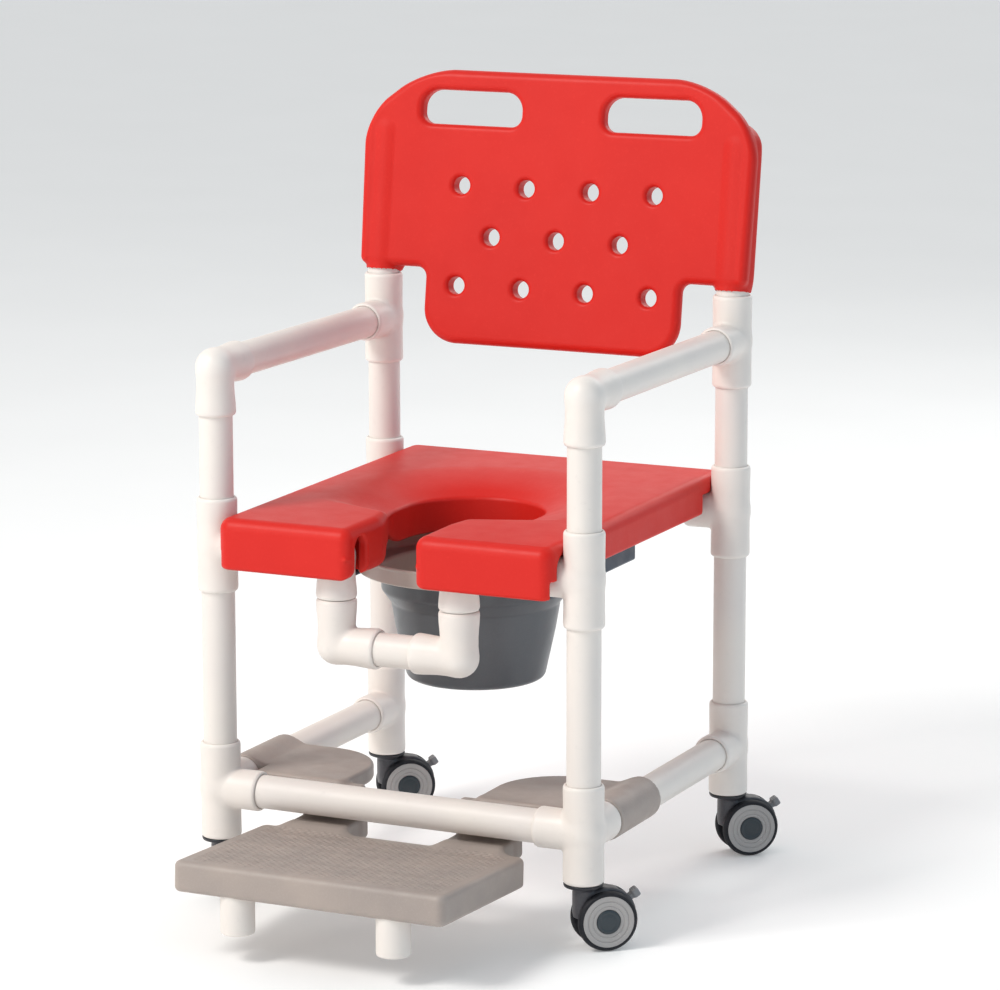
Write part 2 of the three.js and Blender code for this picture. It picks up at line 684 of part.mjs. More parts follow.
// Twin wheels on one axle. The tread has flat facets, one of them on the floor.
function casterWheels() {
  const facets = 24;
  const rim = WHEEL_R / Math.cos(Math.PI / facets);
  const onAxle = (s) => point(0, s, 0);
  const wheels = [-1, 1].map((sy) => (
    rod(onAxle(sy * WHEEL_INNER), onAxle(sy * WHEEL_OUTER), rim, rim, facets)
  ));
  const axle = rod(onAxle(-WHEEL_INNER - 2), onAxle(WHEEL_INNER + 2), AXLE_R);
  const facetDown = new THREE.Matrix4().makeRotationY(Math.PI / facets);
  const place = new THREE.Matrix4().makeTranslation(CASTER_TRAIL, 0, WHEEL_R);
  return union(...wheels, axle).transform(place.multiply(facetDown).elements);
}

function brakePedal() {
  const lever = block([0, 24], [-6, 6], [-4, 3]);
  const toe = block([19, 27], [-7.5, 7.5], [-5, 6]);
  const angle = new THREE.Matrix4().makeRotationY(-PEDAL_ANGLE);
  const pivot = new THREE.Matrix4().makeTranslation(PEDAL_PIVOT[0], 0, PEDAL_PIVOT[1]);
  return union(lever, toe).transform(pivot.multiply(angle).elements);
}

for (const [end, sy] of ENDS_OF_CHAIR) {
  for (const [side, sx] of SIDES_OF_CHAIR) {
    const caster = new THREE.Group();
    caster.position.set(sx * POST_X, sy * POST_Y, 0);
    addPart(`caster_insert_${end}_${side}`, 'insert', casterInsert(), caster);
    chair.add(caster);
    const swivelled = new THREE.Group();
    swivelled.rotation.z = CASTER_HEADING;
    caster.add(swivelled);
    addPart(`caster_housing_${end}_${side}`, 'housing', casterHousing(), swivelled);
    addPart(`caster_wheels_${end}_${side}`, 'wheel', casterWheels(), swivelled);
    addPart(`brake_pedal_${end}_${side}`, 'pedal', brakePedal(), swivelled);
  }
}

// ---- origin ----

// The origin is on the floor, under the centre of the chair's bounding box.
const ORIGIN_X = 17.5;
const ORIGIN_Y = -94;
chair.position.set(-ORIGIN_X, -ORIGIN_Y, 0);

export default chair;
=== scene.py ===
"""A wheeled shower commode chair: fine surfaces, materials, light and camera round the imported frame.

Shapes are worked out in chair millimetres: x from the chair's mid-plane, y from midway between
its front and rear posts, z from the floor. to_row() turns them into metres in the row frame.
A moulding is a distance field, negative inside, whose zero surface is meshed by surface_of().
"""

import cmath
import json
import math

import bpy
import numpy as np
from mathutils import Matrix, Vector

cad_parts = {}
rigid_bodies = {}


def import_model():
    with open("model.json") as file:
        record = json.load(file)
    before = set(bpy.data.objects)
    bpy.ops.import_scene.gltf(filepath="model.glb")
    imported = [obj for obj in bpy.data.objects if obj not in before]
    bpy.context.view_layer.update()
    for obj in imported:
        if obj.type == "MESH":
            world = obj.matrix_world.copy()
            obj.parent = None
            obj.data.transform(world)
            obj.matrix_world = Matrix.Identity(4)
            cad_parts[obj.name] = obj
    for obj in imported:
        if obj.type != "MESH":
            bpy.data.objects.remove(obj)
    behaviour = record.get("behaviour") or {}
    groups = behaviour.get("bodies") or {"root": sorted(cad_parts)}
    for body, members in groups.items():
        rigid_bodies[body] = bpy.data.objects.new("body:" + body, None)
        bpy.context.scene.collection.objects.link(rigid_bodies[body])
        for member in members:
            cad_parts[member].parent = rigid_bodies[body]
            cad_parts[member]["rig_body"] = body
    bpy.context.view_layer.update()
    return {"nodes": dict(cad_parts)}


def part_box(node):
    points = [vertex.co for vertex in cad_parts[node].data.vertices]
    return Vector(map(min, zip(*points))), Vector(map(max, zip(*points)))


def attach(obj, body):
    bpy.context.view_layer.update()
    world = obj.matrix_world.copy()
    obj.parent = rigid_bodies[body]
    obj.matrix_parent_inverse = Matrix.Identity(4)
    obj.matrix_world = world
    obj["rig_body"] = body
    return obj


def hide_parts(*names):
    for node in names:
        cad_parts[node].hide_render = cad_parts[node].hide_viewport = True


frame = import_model()

MM = 0.001


# ---- the frame in chair millimetres ----

def middle_of(node):
    low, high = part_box(node)
    return (low + high) / 2


LEFT_POST = middle_of("lower_post_front_left")
RIGHT_POST = middle_of("lower_post_front_right")
REAR_POST = middle_of("lower_post_rear_left")
MID = Vector(((LEFT_POST.x + RIGHT_POST.x) / 2, (LEFT_POST.y + REAR_POST.y) / 2, 0))


def to_row(points):
    return np.asarray(points, float) * MM + np.array(MID)


def span(node):
    """A CAD node's lowest and highest corners, in chair millimetres."""
    return [np.array(corner - MID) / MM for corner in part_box(node)]


def size(node):
    low, high = span(node)
    return high - low


def centre(node):
    low, high = span(node)
    return (low + high) / 2


POST_X = centre("lower_post_front_right")[0]
POST_Y = centre("lower_post_rear_right")[1]
LOWER_RAIL_Z = centre("side_lower_rail_left")[2]
SEAT_RAIL_Z = centre("rear_seat_rail")[2]
ARM_Z = centre("arm_rail_left")[2]
DROP_Z = centre("drop_crossbar")[2]
PIPE_R = size("rear_seat_rail")[2] / 2
FITTING_R = size("seat_tee_rear_left")[1] / 2
FITTING_REACH = span("seat_tee_rear_left")[1][2] - SEAT_RAIL_Z
BOTTOM_REACH = LOWER_RAIL_Z - span("bottom_fitting_rear_left")[0][2]
DROP_X = span("drop_elbow_lower_right")[1][0] - FITTING_R
DROP_UPPER_REACH = SEAT_RAIL_Z - span("drop_elbow_upper_right")[0][2]
DROP_STUB_REACH = span("drop_elbow_upper_right")[1][0] - DROP_X
SEAT_LOW, SEAT_HIGH = span("seat")
PAIL_LOW, PAIL_HIGH = span("pail")
FOOTREST_LOW, FOOTREST_HIGH = span("footrest")
WHEEL_R = span("caster_wheels_front_right")[1][2] / 2

PIPE_INNER_R = PIPE_R - 3.6
PIPE_RIM = 0.5
PIPE_SIDES = 56
SIDES_OF_CHAIR = (("left", -1), ("right", 1))
ENDS_OF_CHAIR = (("front", -1), ("rear", 1))


# ---- distance fields ----

def smooth(t):
    """0 below 0, 1 above 1, and an even S between."""
    t = np.clip(t, 0, 1)
    return t * t * (3 - 2 * t)


def round_max(a, b, radius):
    """What two solids share, with the edge between them rounded."""
    corner = np.hypot(np.maximum(a + radius, 0), np.maximum(b + radius, 0))
    return np.minimum(np.maximum(a, b), -radius) + corner


def round_min(a, b, radius):
    """Two solids joined, with a fillet between them."""
    return -round_max(-a, -b, radius)


def cut(solid, tool, radius):
    """The solid less the tool, with a rounded rim."""
    return round_max(solid, -tool, radius)


def within(value, low, high):
    """Distance to the slab between low and high."""
    return np.abs(value - (low + high) / 2) - (high - low) / 2


def block(p, xs, ys, zs, radius):
    """A block with all its edges rounded."""
    outside = [within(p[:, i], *limits) + radius for i, limits in enumerate((xs, ys, zs))]
    away = np.sqrt(sum(np.maximum(o, 0) ** 2 for o in outside))
    return away + np.minimum(np.maximum.reduce(outside), 0) - radius


TETRAHEDRON = np.array([(1, 1, 1), (1, -1, -1), (-1, 1, -1), (-1, -1, 1)], float)


def gradient(field, p, step=0.05):
    """The field's slope, from its values at the corners of a small tetrahedron round each point."""
    return sum(field(p + step * corner)[:, None] * corner for corner in TETRAHEDRON) / (4 * step)


def settle(field, p, rounds=2, reach=1.5):
    """Moves points onto the field's zero surface."""
    for _ in range(rounds):
        slope = gradient(field, p)
        steep = np.maximum((slope ** 2).sum(1), 0.2)
        move = -(field(p) / steep)[:, None] * slope
        length = np.linalg.norm(move, axis=1, keepdims=True)
        p = p + move * np.minimum(1, reach / np.maximum(length, 1e-9))
    return p


RELAXING_ROUNDS = 3
CORNERS = np.argwhere(np.ones((2, 2, 2)))
CELL_EDGES = [(a, b) for a in CORNERS for b in CORNERS if (b - a).sum() == 1 and (b >= a).all()]
CELLS_ROUND_EDGE = np.array([(0, -1, -1), (0, 0, -1), (0, 0, 0), (0, -1, 0)])  # for an edge along x


def surface_of(field, xs, ys, zs):
    """Vertices, quads and normals of a field's zero surface, by surface nets on a grid."""
    axes = (np.asarray(xs), np.asarray(ys), np.asarray(zs))
    grid = np.stack(np.meshgrid(*axes, indexing="ij"), -1)
    values = field(grid.reshape(-1, 3)).reshape(grid.shape[:3])
    inside = values < 0
    cells = [n - 1 for n in inside.shape]
    filled = np.zeros(cells, int)
    for i, j, k in CORNERS:
        filled += inside[i:i + cells[0], j:j + cells[1], k:k + cells[2]]
    crossed = np.argwhere((filled > 0) & (filled < 8))
    number = np.full(cells, -1)
    number[tuple(crossed.T)] = np.arange(len(crossed))
    total = np.zeros((len(crossed), 3))
    hits = np.zeros(len(crossed))
    for a, b in CELL_EDGES:
        start, end = tuple((crossed + a).T), tuple((crossed + b).T)
        crosses = inside[start] != inside[end]
        difference = np.where(crosses, values[start] - values[end], 1)
        share = (values[start] / difference)[:, None]
        total += np.where(crosses[:, None], grid[start] + share * (grid[end] - grid[start]), 0)
        hits += crosses
    vertices = total / hits[:, None]
    quads = []
    for axis in range(3):
        ring = np.roll(CELLS_ROUND_EDGE, axis, 1)
        trim = [slice(1, -1)] * 3
        trim[axis] = slice(0, -1)
        changed = np.zeros(inside.shape, bool)
        changed[tuple(trim)] = (inside != np.roll(inside, -1, axis))[tuple(trim)]
        places = np.argwhere(changed)
        corners = np.stack([number[tuple((places + step).T)] for step in ring], 1)
        outward = inside[tuple(places.T)]
        quads.append(np.where(outward[:, None], corners, corners[:, ::-1]))
    quads = np.concatenate(quads)
    vertices = settle(field, vertices, 3)
    pairs = np.concatenate([quads[:, [i, (i + 1) % 4]] for i in range(4)])
    pairs = np.concatenate([pairs, pairs[:, ::-1]])
    degree = np.bincount(pairs[:, 0], minlength=len(vertices))[:, None]
    for _ in range(RELAXING_ROUNDS):
        neighbours = np.stack([
            np.bincount(pairs[:, 0], vertices[pairs[:, 1], i], len(vertices)) for i in range(3)
        ], 1) / degree
        vertices = settle(field, (vertices + neighbours) / 2, 2)
    normals = gradient(field, vertices)
    normals /= np.maximum(np.linalg.norm(normals, axis=1, keepdims=True), 1e-9)
    return vertices, quads.tolist(), normals


def steps(*stretches):
    """Grid lines over stretches of (start, end, spacing), each following on from the last."""
    lines = []
    for start, end, spacing in stretches:
        count = max(1, round((end - start) / spacing))
        lines.extend(np.linspace(start, end, count, endpoint=False))
    return np.array(lines + [stretches[-1][1]])


# ---- objects ----

def face_normals(vertices, faces):
    """Vertex normals weighted by face area, so that flats stay flat beside their rounded rims."""
    total = np.zeros_like(vertices)
    for size in sorted({len(face) for face in faces}):
        rings = np.array([face for face in faces if len(face) == size])
        corners = vertices[rings]
        spokes = corners - corners[:, :1]
        area = np.cross(spokes, np.roll(spokes, -1, 1)).sum(1)
        for ring in rings.T:
            np.add.at(total, ring, area)
    return total / np.maximum(np.linalg.norm(total, axis=1, keepdims=True), 1e-12)


def add_object(name, vertices, faces, material, normals=None):
    """A smooth mesh object from chair millimetres."""
    mesh = bpy.data.meshes.new(name)
    mesh.from_pydata(to_row(vertices).tolist(), [], [tuple(face) for face in faces])
    mesh.polygons.foreach_set("use_smooth", np.ones(len(mesh.polygons), bool))
    mesh.update()
    if normals is None:
        normals = face_normals(np.asarray(vertices, float), faces)
    mesh.normals_split_custom_set_from_vertices(normals.tolist())
    mesh.materials.append(material)
    obj = bpy.data.objects.new(name, mesh)
    bpy.context.scene.collection.objects.link(obj)
    return obj


def go_with(obj, node, slot):
    """obj moves with a CAD node."""
    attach(obj, frame["nodes"][node]["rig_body"])


def stand_for(obj, node, slot):
    """obj is shown in place of a CAD node and moves with it."""
    go_with(obj, node, slot)
    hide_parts(node)


def rounded_path(corners, segments=5, closed=True):
    """Points along a path through (a, b, radius) corners, each turned with an arc."""
    points = []
    places = [complex(a, b) for a, b, _ in corners]
    for index, (here, (_, _, radius)) in enumerate(zip(places, corners)):
        if radius == 0 or (not closed and index in (0, len(corners) - 1)):
            points.append(here)
            continue
        before = places[index - 1] - here
        after = places[(index + 1) % len(places)] - here
        before, after = before / abs(before), after / abs(after)
        half = abs(cmath.phase(after / before)) / 2
        hub = here + (before + after) / abs(before + after) * radius / math.sin(half)
        start = here + before * radius / math.tan(half) - hub
        turn = cmath.phase((here + after * radius / math.tan(half) - hub) / start)
        points += [hub + start * cmath.rect(1, turn * step / segments) for step in range(segments + 1)]
    return [(point.real, point.imag) for point in points]


def revolve(profile, origin, axis, sides=64):
    """A turned solid: profile is (along the axis, radius) points, from axis to axis or a loop."""
    axis = np.array(Vector(axis).normalized())
    across = np.array(Vector(axis).orthogonal().normalized())
    third = np.cross(axis, across)
    turn = np.arange(sides) * 2 * math.pi / sides
    outward = np.cos(turn)[:, None] * across + np.sin(turn)[:, None] * third
    rings, vertices, faces = [], [], []
    for along, radius in profile:
        foot = np.asarray(origin, float) + axis * along
        ring = foot[None] if radius < 1e-6 else foot + radius * outward
        rings.append(np.arange(len(ring)) + sum(len(other) for other in vertices))
        vertices.append(ring)
    steps_round = list(zip(profile, profile[1:], rings, rings[1:]))
    if len(rings[0]) > 1:
        steps_round.append((profile[-1], profile[0], rings[-1], rings[0]))
    volume = 0
    for (low_at, low_r), (high_at, high_r), low, high in steps_round:
        volume += (low_r ** 2 + low_r * high_r + high_r ** 2) * (high_at - low_at)
        if len(low) == 1 and len(high) == 1:
            continue
        if len(low) == 1:
            fan = (np.repeat(low, sides), high, np.roll(high, -1))
        elif len(high) == 1:
            fan = (low, np.repeat(high, sides), np.roll(low, -1))
        else:
            fan = (low, high, np.roll(high, -1), np.roll(low, -1))
        faces.extend(np.stack(fan, 1).tolist())
    if volume > 0:
        faces = [face[::-1] for face in faces]
    return np.concatenate(vertices), faces


# ---- materials ----

def srgb(red, green, blue):
    """A linear colour from 0 to 255 values as they look on a screen."""
    def linear(value):
        value /= 255
        return value / 12.92 if value <= 0.04045 else ((value + 0.055) / 1.055) ** 2.4
    return (linear(red), linear(green), linear(blue), 1)


class Nodes:
    """Adds nodes and links to a node tree."""

    def __init__(self, tree):
        self.tree = tree

    def node(self, kind, **settings):
        node = self.tree.nodes.new(kind)
        for key, value in settings.items():
            setattr(node, key, value)
        return node

    def link(self, source, target):
        if isinstance(source, (int, float, tuple)):
            target.default_value = source
        else:
            self.tree.links.new(source, target)

    def spread(self, value, low, high, start=0.3, end=0.7):
        """A value's start-to-end range spread over low to high."""
        ranged = self.node("ShaderNodeMapRange", clamp=True)
        self.link(value, ranged.inputs["Value"])
        for name, setting in (("From Min", start), ("From Max", end), ("To Min", low), ("To Max", high)):
            self.link(setting, ranged.inputs[name])
        return ranged.outputs["Result"]


class Finish(Nodes):
    """A procedural material, built up from a Principled shader; its colours are 0 to 255 on a screen."""

    def __init__(self, name, colour, specular=0.5):
        self.material = bpy.data.materials.new(name)
        self.material.use_nodes = True
        super().__init__(self.material.node_tree)
        self.shader = self.tree.nodes["Principled BSDF"]
        self.shader.inputs["Specular IOR Level"].default_value = specular
        self.place = self.node("ShaderNodeTexCoord").outputs["Object"]
        self.normal = None
        self.colour = srgb(*colour)

    def noise(self, size, detail=3.0, stretch=(1, 1, 1), roughness=0.5):
        """Noise with features of about size metres."""
        mapping = self.node("ShaderNodeMapping")
        self.link(self.place, mapping.inputs["Vector"])
        mapping.inputs["Scale"].default_value = stretch
        noise = self.node("ShaderNodeTexNoise")
        self.link(mapping.outputs["Vector"], noise.inputs["Vector"])
        noise.inputs["Scale"].default_value = 1 / size
        noise.inputs["Detail"].default_value = detail
        noise.inputs["Roughness"].default_value = roughness
        return noise.outputs["Fac"]

    def tint(self, factor, colour):
        """Mixes in another colour where factor is high."""
        mixed = self.node("ShaderNodeMix", data_type="RGBA")
        self.link(factor, mixed.inputs["Factor"])
        self.link(self.colour, mixed.inputs["A"])
        self.link(srgb(*colour), mixed.inputs["B"])
        self.colour = mixed.outputs["Result"]

    def edges(self, start, end):
        """0 on flats and 1 on outer edges, or on inner ones where end is less than start."""
        pointed = self.node("ShaderNodeNewGeometry").outputs["Pointiness"]
        return self.spread(pointed, 0.0, 1.0, start, end)

    def bump(self, height, depth, strength=1.0):
        """Adds a relief whose full height is depth metres."""
        bump = self.node("ShaderNodeBump")
        bump.inputs["Distance"].default_value = depth
        bump.inputs["Strength"].default_value = strength
        self.link(height, bump.inputs["Height"])
        if self.normal is not None:
            self.link(self.normal, bump.inputs["Normal"])
        self.normal = bump.outputs["Normal"]

    def done(self, roughness):
        self.link(self.colour, self.shader.inputs["Base Color"])
        self.link(roughness, self.shader.inputs["Roughness"])
        self.link(self.normal, self.shader.inputs["Normal"])
        return self.material


def pvc_pipe(name, along):
    """Extruded white pipe: fine die lines along it and faint handling marks."""
    finish = Finish(name, (233, 226, 219))
    stretch = [1.0, 1.0, 1.0]
    stretch[along] = 0.02
    lines = finish.noise(0.0022, 2, tuple(stretch))
    cloud = finish.noise(0.09, 2)
    finish.tint(finish.spread(cloud, 0, 1), (228, 221, 216))
    scuffs = finish.noise(0.012, 5, roughness=0.7)
    finish.tint(finish.spread(scuffs, 0, 0.3, 0.60, 0.78), (205, 199, 194))
    finish.bump(lines, 0.00003)
    finish.bump(finish.noise(0.0016, 2), 0.00002)
    return finish.done(finish.spread(scuffs, 0.40, 0.52))


def pvc_fitting(name):
    """Moulded white fitting: a light orange peel and slightly polished rims."""
    finish = Finish(name, (235, 227, 220))
    cloud = finish.noise(0.05)
    finish.tint(finish.spread(cloud, 0, 1), (229, 222, 216))
    finish.tint(finish.edges(0.51, 0.56), (241, 235, 230))
    grime = finish.spread(finish.noise(0.02, 5, roughness=0.65), 0, 0.25, 0.58, 0.8)
    finish.tint(grime, (208, 201, 195))
    finish.bump(finish.noise(0.0035, 2), 0.00006)
    finish.bump(finish.noise(0.0009, 2), 0.00002)
    return finish.done(finish.spread(cloud, 0.38, 0.48))


def red_moulding(name):
    """Blow-moulded red plastic: a fine satin grain, gentle waviness, paler rubbed edges and painted shade
    in its creases.
    """
    finish = Finish(name, (212, 37, 29), specular=0.22)
    cloud = finish.noise(0.12)
    finish.tint(finish.spread(cloud, 0, 1), (207, 34, 27))
    fine = finish.noise(0.004, 4, roughness=0.6)
    finish.tint(finish.spread(fine, 0, 0.25, 0.55, 0.8), (228, 62, 50))
    finish.tint(finish.edges(0.515, 0.60), (226, 56, 44))
    # Painted shade: inner edges, creases and hole rims are darkened where shade would fall.
    finish.tint(finish.edges(0.492, 0.45), (128, 16, 14))
    rubbed = finish.noise(0.03, 5, roughness=0.65)
    finish.bump(finish.noise(0.06, 1), 0.0003, 0.5)
    finish.bump(finish.noise(0.0011), 0.00006)
    return finish.done(finish.spread(rubbed, 0.40, 0.47))


def grey_moulding(name, light, dark, pale, roughness=(0.42, 0.58), grain=0.0013, depth=0.00008):
    """Moulded grey plastic with a matt grain, cloudy tone and rubbed edges."""
    finish = Finish(name, light)
    cloud = finish.noise(0.07)
    finish.tint(finish.spread(cloud, 0, 1), dark)
    speck = finish.noise(0.0024, roughness=0.7)
    finish.tint(finish.spread(speck, 0, 0.22, 0.5, 0.75), pale)
    finish.tint(finish.edges(0.515, 0.60), pale)
    finish.bump(finish.noise(grain), depth)
    return finish.done(finish.spread(finish.noise(0.02, 4), *roughness))


def black_rubber(name):
    """Tread rubber: near black, dull, with dust in its grain."""
    finish = Finish(name, (24, 25, 31), specular=0.35)
    dust = finish.noise(0.006, 5, roughness=0.7)
    finish.tint(finish.spread(dust, 0, 0.5, 0.48, 0.8), (66, 66, 72))
    finish.bump(finish.noise(0.0009), 0.00007)
    return finish.done(finish.spread(dust, 0.5, 0.75))


def steel(name):
    """Bright zinc-plated steel with fine turning lines."""
    finish = Finish(name, (176, 178, 182))
    finish.shader.inputs["Metallic"].default_value = 1.0
    lines = finish.noise(0.0006, 2, (1, 1, 8))
    finish.tint(finish.spread(lines, 0, 1), (150, 152, 156))
    finish.bump(lines, 0.00001)
    return finish.done(finish.spread(lines, 0.25, 0.4))


PIPE_ALONG = [pvc_pipe(f"pvc_pipe_{name}", axis) for axis, name in enumerate("xyz")]
FITTING = pvc_fitting("pvc_fitting")
RED = red_moulding("red_moulding")
# One grey pail plastic in two copies: the outside darker and bluer as painted shade, the lining and rim
# lighter as painted light.
PAIL_OUTSIDE_PAINTED_SHADE = grey_moulding("pail_plastic", (94, 97, 101), (85, 89, 94), (112, 114, 117),
                     (0.28, 0.38), 0.0025, 0.00004)
PAIL_LINING_PAINTED_LIGHT = grey_moulding("pail_lining_painted_light", (196, 187, 178), (187, 178, 170), (208, 200, 192),
                            (0.28, 0.38), 0.0025, 0.00004)
GUIDE = grey_moulding("guide_plastic", (58, 72, 88), (48, 60, 74), (80, 94, 108))
FOOTREST = grey_moulding("footrest_plastic", (168, 155, 147), (156, 145, 139), (184, 173, 166))
BLACK = grey_moulding("black_nylon", (26, 27, 34), (20, 21, 26), (44, 46, 54), (0.32, 0.46))
HOUSING = grey_moulding("housing_nylon", (70, 69, 74), (60, 59, 64), (98, 97, 101), (0.34, 0.46))
DISC = grey_moulding("wheel_disc", (172, 168, 166), (160, 157, 156), (186, 183, 181), (0.34, 0.46))
HUB_CAP = grey_moulding("wheel_cap", (46, 56, 63), (38, 48, 54), (66, 76, 83), (0.3, 0.42))
PEDAL = grey_moulding("pedal_nylon", (132, 133, 136), (120, 121, 124), (150, 151, 154))
RUBBER = black_rubber("tread_rubber")
STEEL = steel("axle_steel")


# ---- pipes ----

def add_pipe(node):
    """A straight pipe along the longest side of its CAD node's box."""
    along = int(np.argmax(size(node)))
    length = size(node)[along]
    start = centre(node)
    start[along] -= length / 2
    profile = rounded_path([
        (0, PIPE_INNER_R, PIPE_RIM), (0, PIPE_R, PIPE_RIM),
        (length, PIPE_R, PIPE_RIM), (length, PIPE_INNER_R, PIPE_RIM),
    ], 2)
    vertices, faces = revolve(profile, start, np.eye(3)[along], PIPE_SIDES)
    stand_for(add_object(f"{node}_tube", vertices, faces, PIPE_ALONG[along]), node, "pipe_plastic")


def add_pipes():
    for side, _ in SIDES_OF_CHAIR:
        for end, _ in ENDS_OF_CHAIR:
            add_pipe(f"lower_post_{end}_{side}")
            add_pipe(f"upper_post_{end}_{side}")
        add_pipe(f"arm_rail_{side}")
        add_pipe(f"side_lower_rail_{side}")
        add_pipe(f"front_seat_stub_{side}")
    for node in ("front_lower_rail", "rear_seat_rail", "drop_crossbar"):
        add_pipe(node)


# ---- fittings ----

ARM_SIDES = 48
COLLAR_R = FITTING_R + 0.35
RIM_R = PIPE_R + 1.5
BORE_R = PIPE_R + 0.25
COLLAR_ROUNDING = 5.0
SOCKET_DEPTH = 32.0
ELBOW_WAIST_R = 23.6
CREASE_FILLET = 4.0
CREASE_RINGS = 9  # rings of vertices from the crease between two arms to the straight

UP, DOWN = np.array((0, 0, 1.0)), np.array((0, 0, -1.0))
FORE, AFT = np.array((0, -1.0, 0)), np.array((0, 1.0, 0))


def arm_radius(along, reach, waist):
    """A fitting's radius along one of its arms: the body, its collar and the collar's soft nose."""
    shoulder = reach - COLLAR_ROUNDING
    body = waist + (COLLAR_R - waist) * smooth((along - waist) / max(shoulder - waist, 1))
    nose = np.clip((along - shoulder) / COLLAR_ROUNDING, 0, 1)
    return RIM_R + (body - RIM_R) * np.sqrt(1 - nose ** 2)


def add_fitting(node, hub, arms):
    """A moulded pipe fitting at hub with one socketed arm for each (direction, reach)."""
    hub = np.asarray(hub, float)
    waist = ELBOW_WAIST_R if len(arms) == 2 else FITTING_R
    directions = [direction for direction, _ in arms]
    run_through = [any(np.allclose(direction, -other) for other in directions) for direction in directions]

    def field(p):
        solid = None
        for (direction, reach), through in zip(arms, run_through):
            along = p @ direction
            foot = along if through else np.maximum(along, 0)
            away = np.linalg.norm(p - foot[:, None] * direction, axis=1)
            arm = away - arm_radius(np.abs(foot), reach, waist)
            if through:
                arm = np.where(along >= 0, arm, away - waist)
            if solid is None:
                solid = arm
            elif through:
                solid = np.minimum(solid, arm)
            else:
                solid = round_min(solid, arm, CREASE_FILLET)
        return solid

    vertices, faces, exact = [], [], []
    for (direction, reach), through in zip(arms, run_through):
        axis = int(np.argmax(np.abs(direction)))
        across, third = np.eye(3)[(axis + 1) % 3], np.eye(3)[(axis + 2) % 3]
        if direction[axis] < 0:
            across, third = third, across
        turn = np.arange(ARM_SIDES) * 2 * math.pi / ARM_SIDES
        outward = np.cos(turn)[:, None] * across + np.sin(turn)[:, None] * third
        starts = [outward @ other for other in directions if abs(other @ direction) < 0.5]
        if through:
            starts.append(np.zeros(ARM_SIDES))
        start = waist * np.maximum.reduce(starts)
        straight = waist + 3.0
        shoulder = reach - COLLAR_ROUNDING
        outside = [start + (straight - start) * t for t in np.linspace(0, 1, CREASE_RINGS)]
        outside += list(np.linspace(straight, shoulder, 4)[1:])
        outside += list(shoulder + COLLAR_ROUNDING * np.sin(np.linspace(0, math.pi / 2, 8)[1:]))
        stations = [(along, arm_radius(along, reach, waist)) for along in outside]
        stations += [(reach, RIM_R - 0.5), (reach - 0.4, BORE_R), (reach - SOCKET_DEPTH, BORE_R)]
        rings = []
        for along, radius in stations:
            along, radius = np.broadcast_to(along, ARM_SIDES), np.broadcast_to(radius, ARM_SIDES)
            rings.append(range(len(vertices), len(vertices) + ARM_SIDES))
            vertices.extend(along[:, None] * direction + radius[:, None] * outward)
            exact.extend([len(rings) > CREASE_RINGS] * ARM_SIDES)
        for low, high in zip(rings, rings[1:]):
            for side in range(ARM_SIDES):
                after = (side + 1) % ARM_SIDES
                faces.append((low[side], low[after], high[after], high[side]))
        faces.append(tuple(rings[-1]))
    vertices = np.array(vertices)
    # The arms' first rings meet point for point, so shared points become one.
    keys, number = np.unique(np.round(vertices, 3), axis=0, return_inverse=True)
    number = number.reshape(-1)
    merged = np.zeros((len(keys), 3))
    merged[number] = vertices
    fixed = np.zeros(len(keys), bool)
    fixed[number] = exact
    faces = [tuple(dict.fromkeys(number[list(face)])) for face in faces]
    faces = [face for face in faces if len(face) > 2]
    for _ in range(3):
        merged[~fixed] = settle(field, merged[~fixed], 3, 12)
    obj = add_object(f"{node}_moulding", merged + hub, faces, FITTING)
    stand_for(obj, node, "pipe_plastic")


def alike(*directions):
    """Arms of the usual reach in each direction."""
    return [(direction, FITTING_REACH) for direction in directions]


def add_fittings():
    for side, sx in SIDES_OF_CHAIR:
        inward = np.array((-sx, 0, 0.0))
        for end, sy in ENDS_OF_CHAIR:
            x, y = sx * POST_X, sy * POST_Y
            low_arms = [(UP, FITTING_REACH), (DOWN, BOTTOM_REACH), (-sy * AFT, FITTING_REACH)]
            if end == "front":
                low_arms.append((inward, FITTING_REACH))
            add_fitting(f"bottom_fitting_{end}_{side}", (x, y, LOWER_RAIL_Z), low_arms)
            add_fitting(f"seat_tee_{end}_{side}", (x, y, SEAT_RAIL_Z), alike(UP, DOWN, inward))
        add_fitting(f"arm_elbow_{side}", (sx * POST_X, -POST_Y, ARM_Z), alike(DOWN, AFT))
        add_fitting(f"arm_tee_{side}", (sx * POST_X, POST_Y, ARM_Z), alike(UP, DOWN, FORE))
        add_fitting(f"drop_elbow_upper_{side}", (sx * DROP_X, -POST_Y, SEAT_RAIL_Z), [
            (-inward, DROP_STUB_REACH), (DOWN, DROP_UPPER_REACH),
        ])
        add_fitting(f"drop_elbow_lower_{side}", (sx * DROP_X, -POST_Y, DROP_Z), alike(UP, inward))


# ---- seat ----

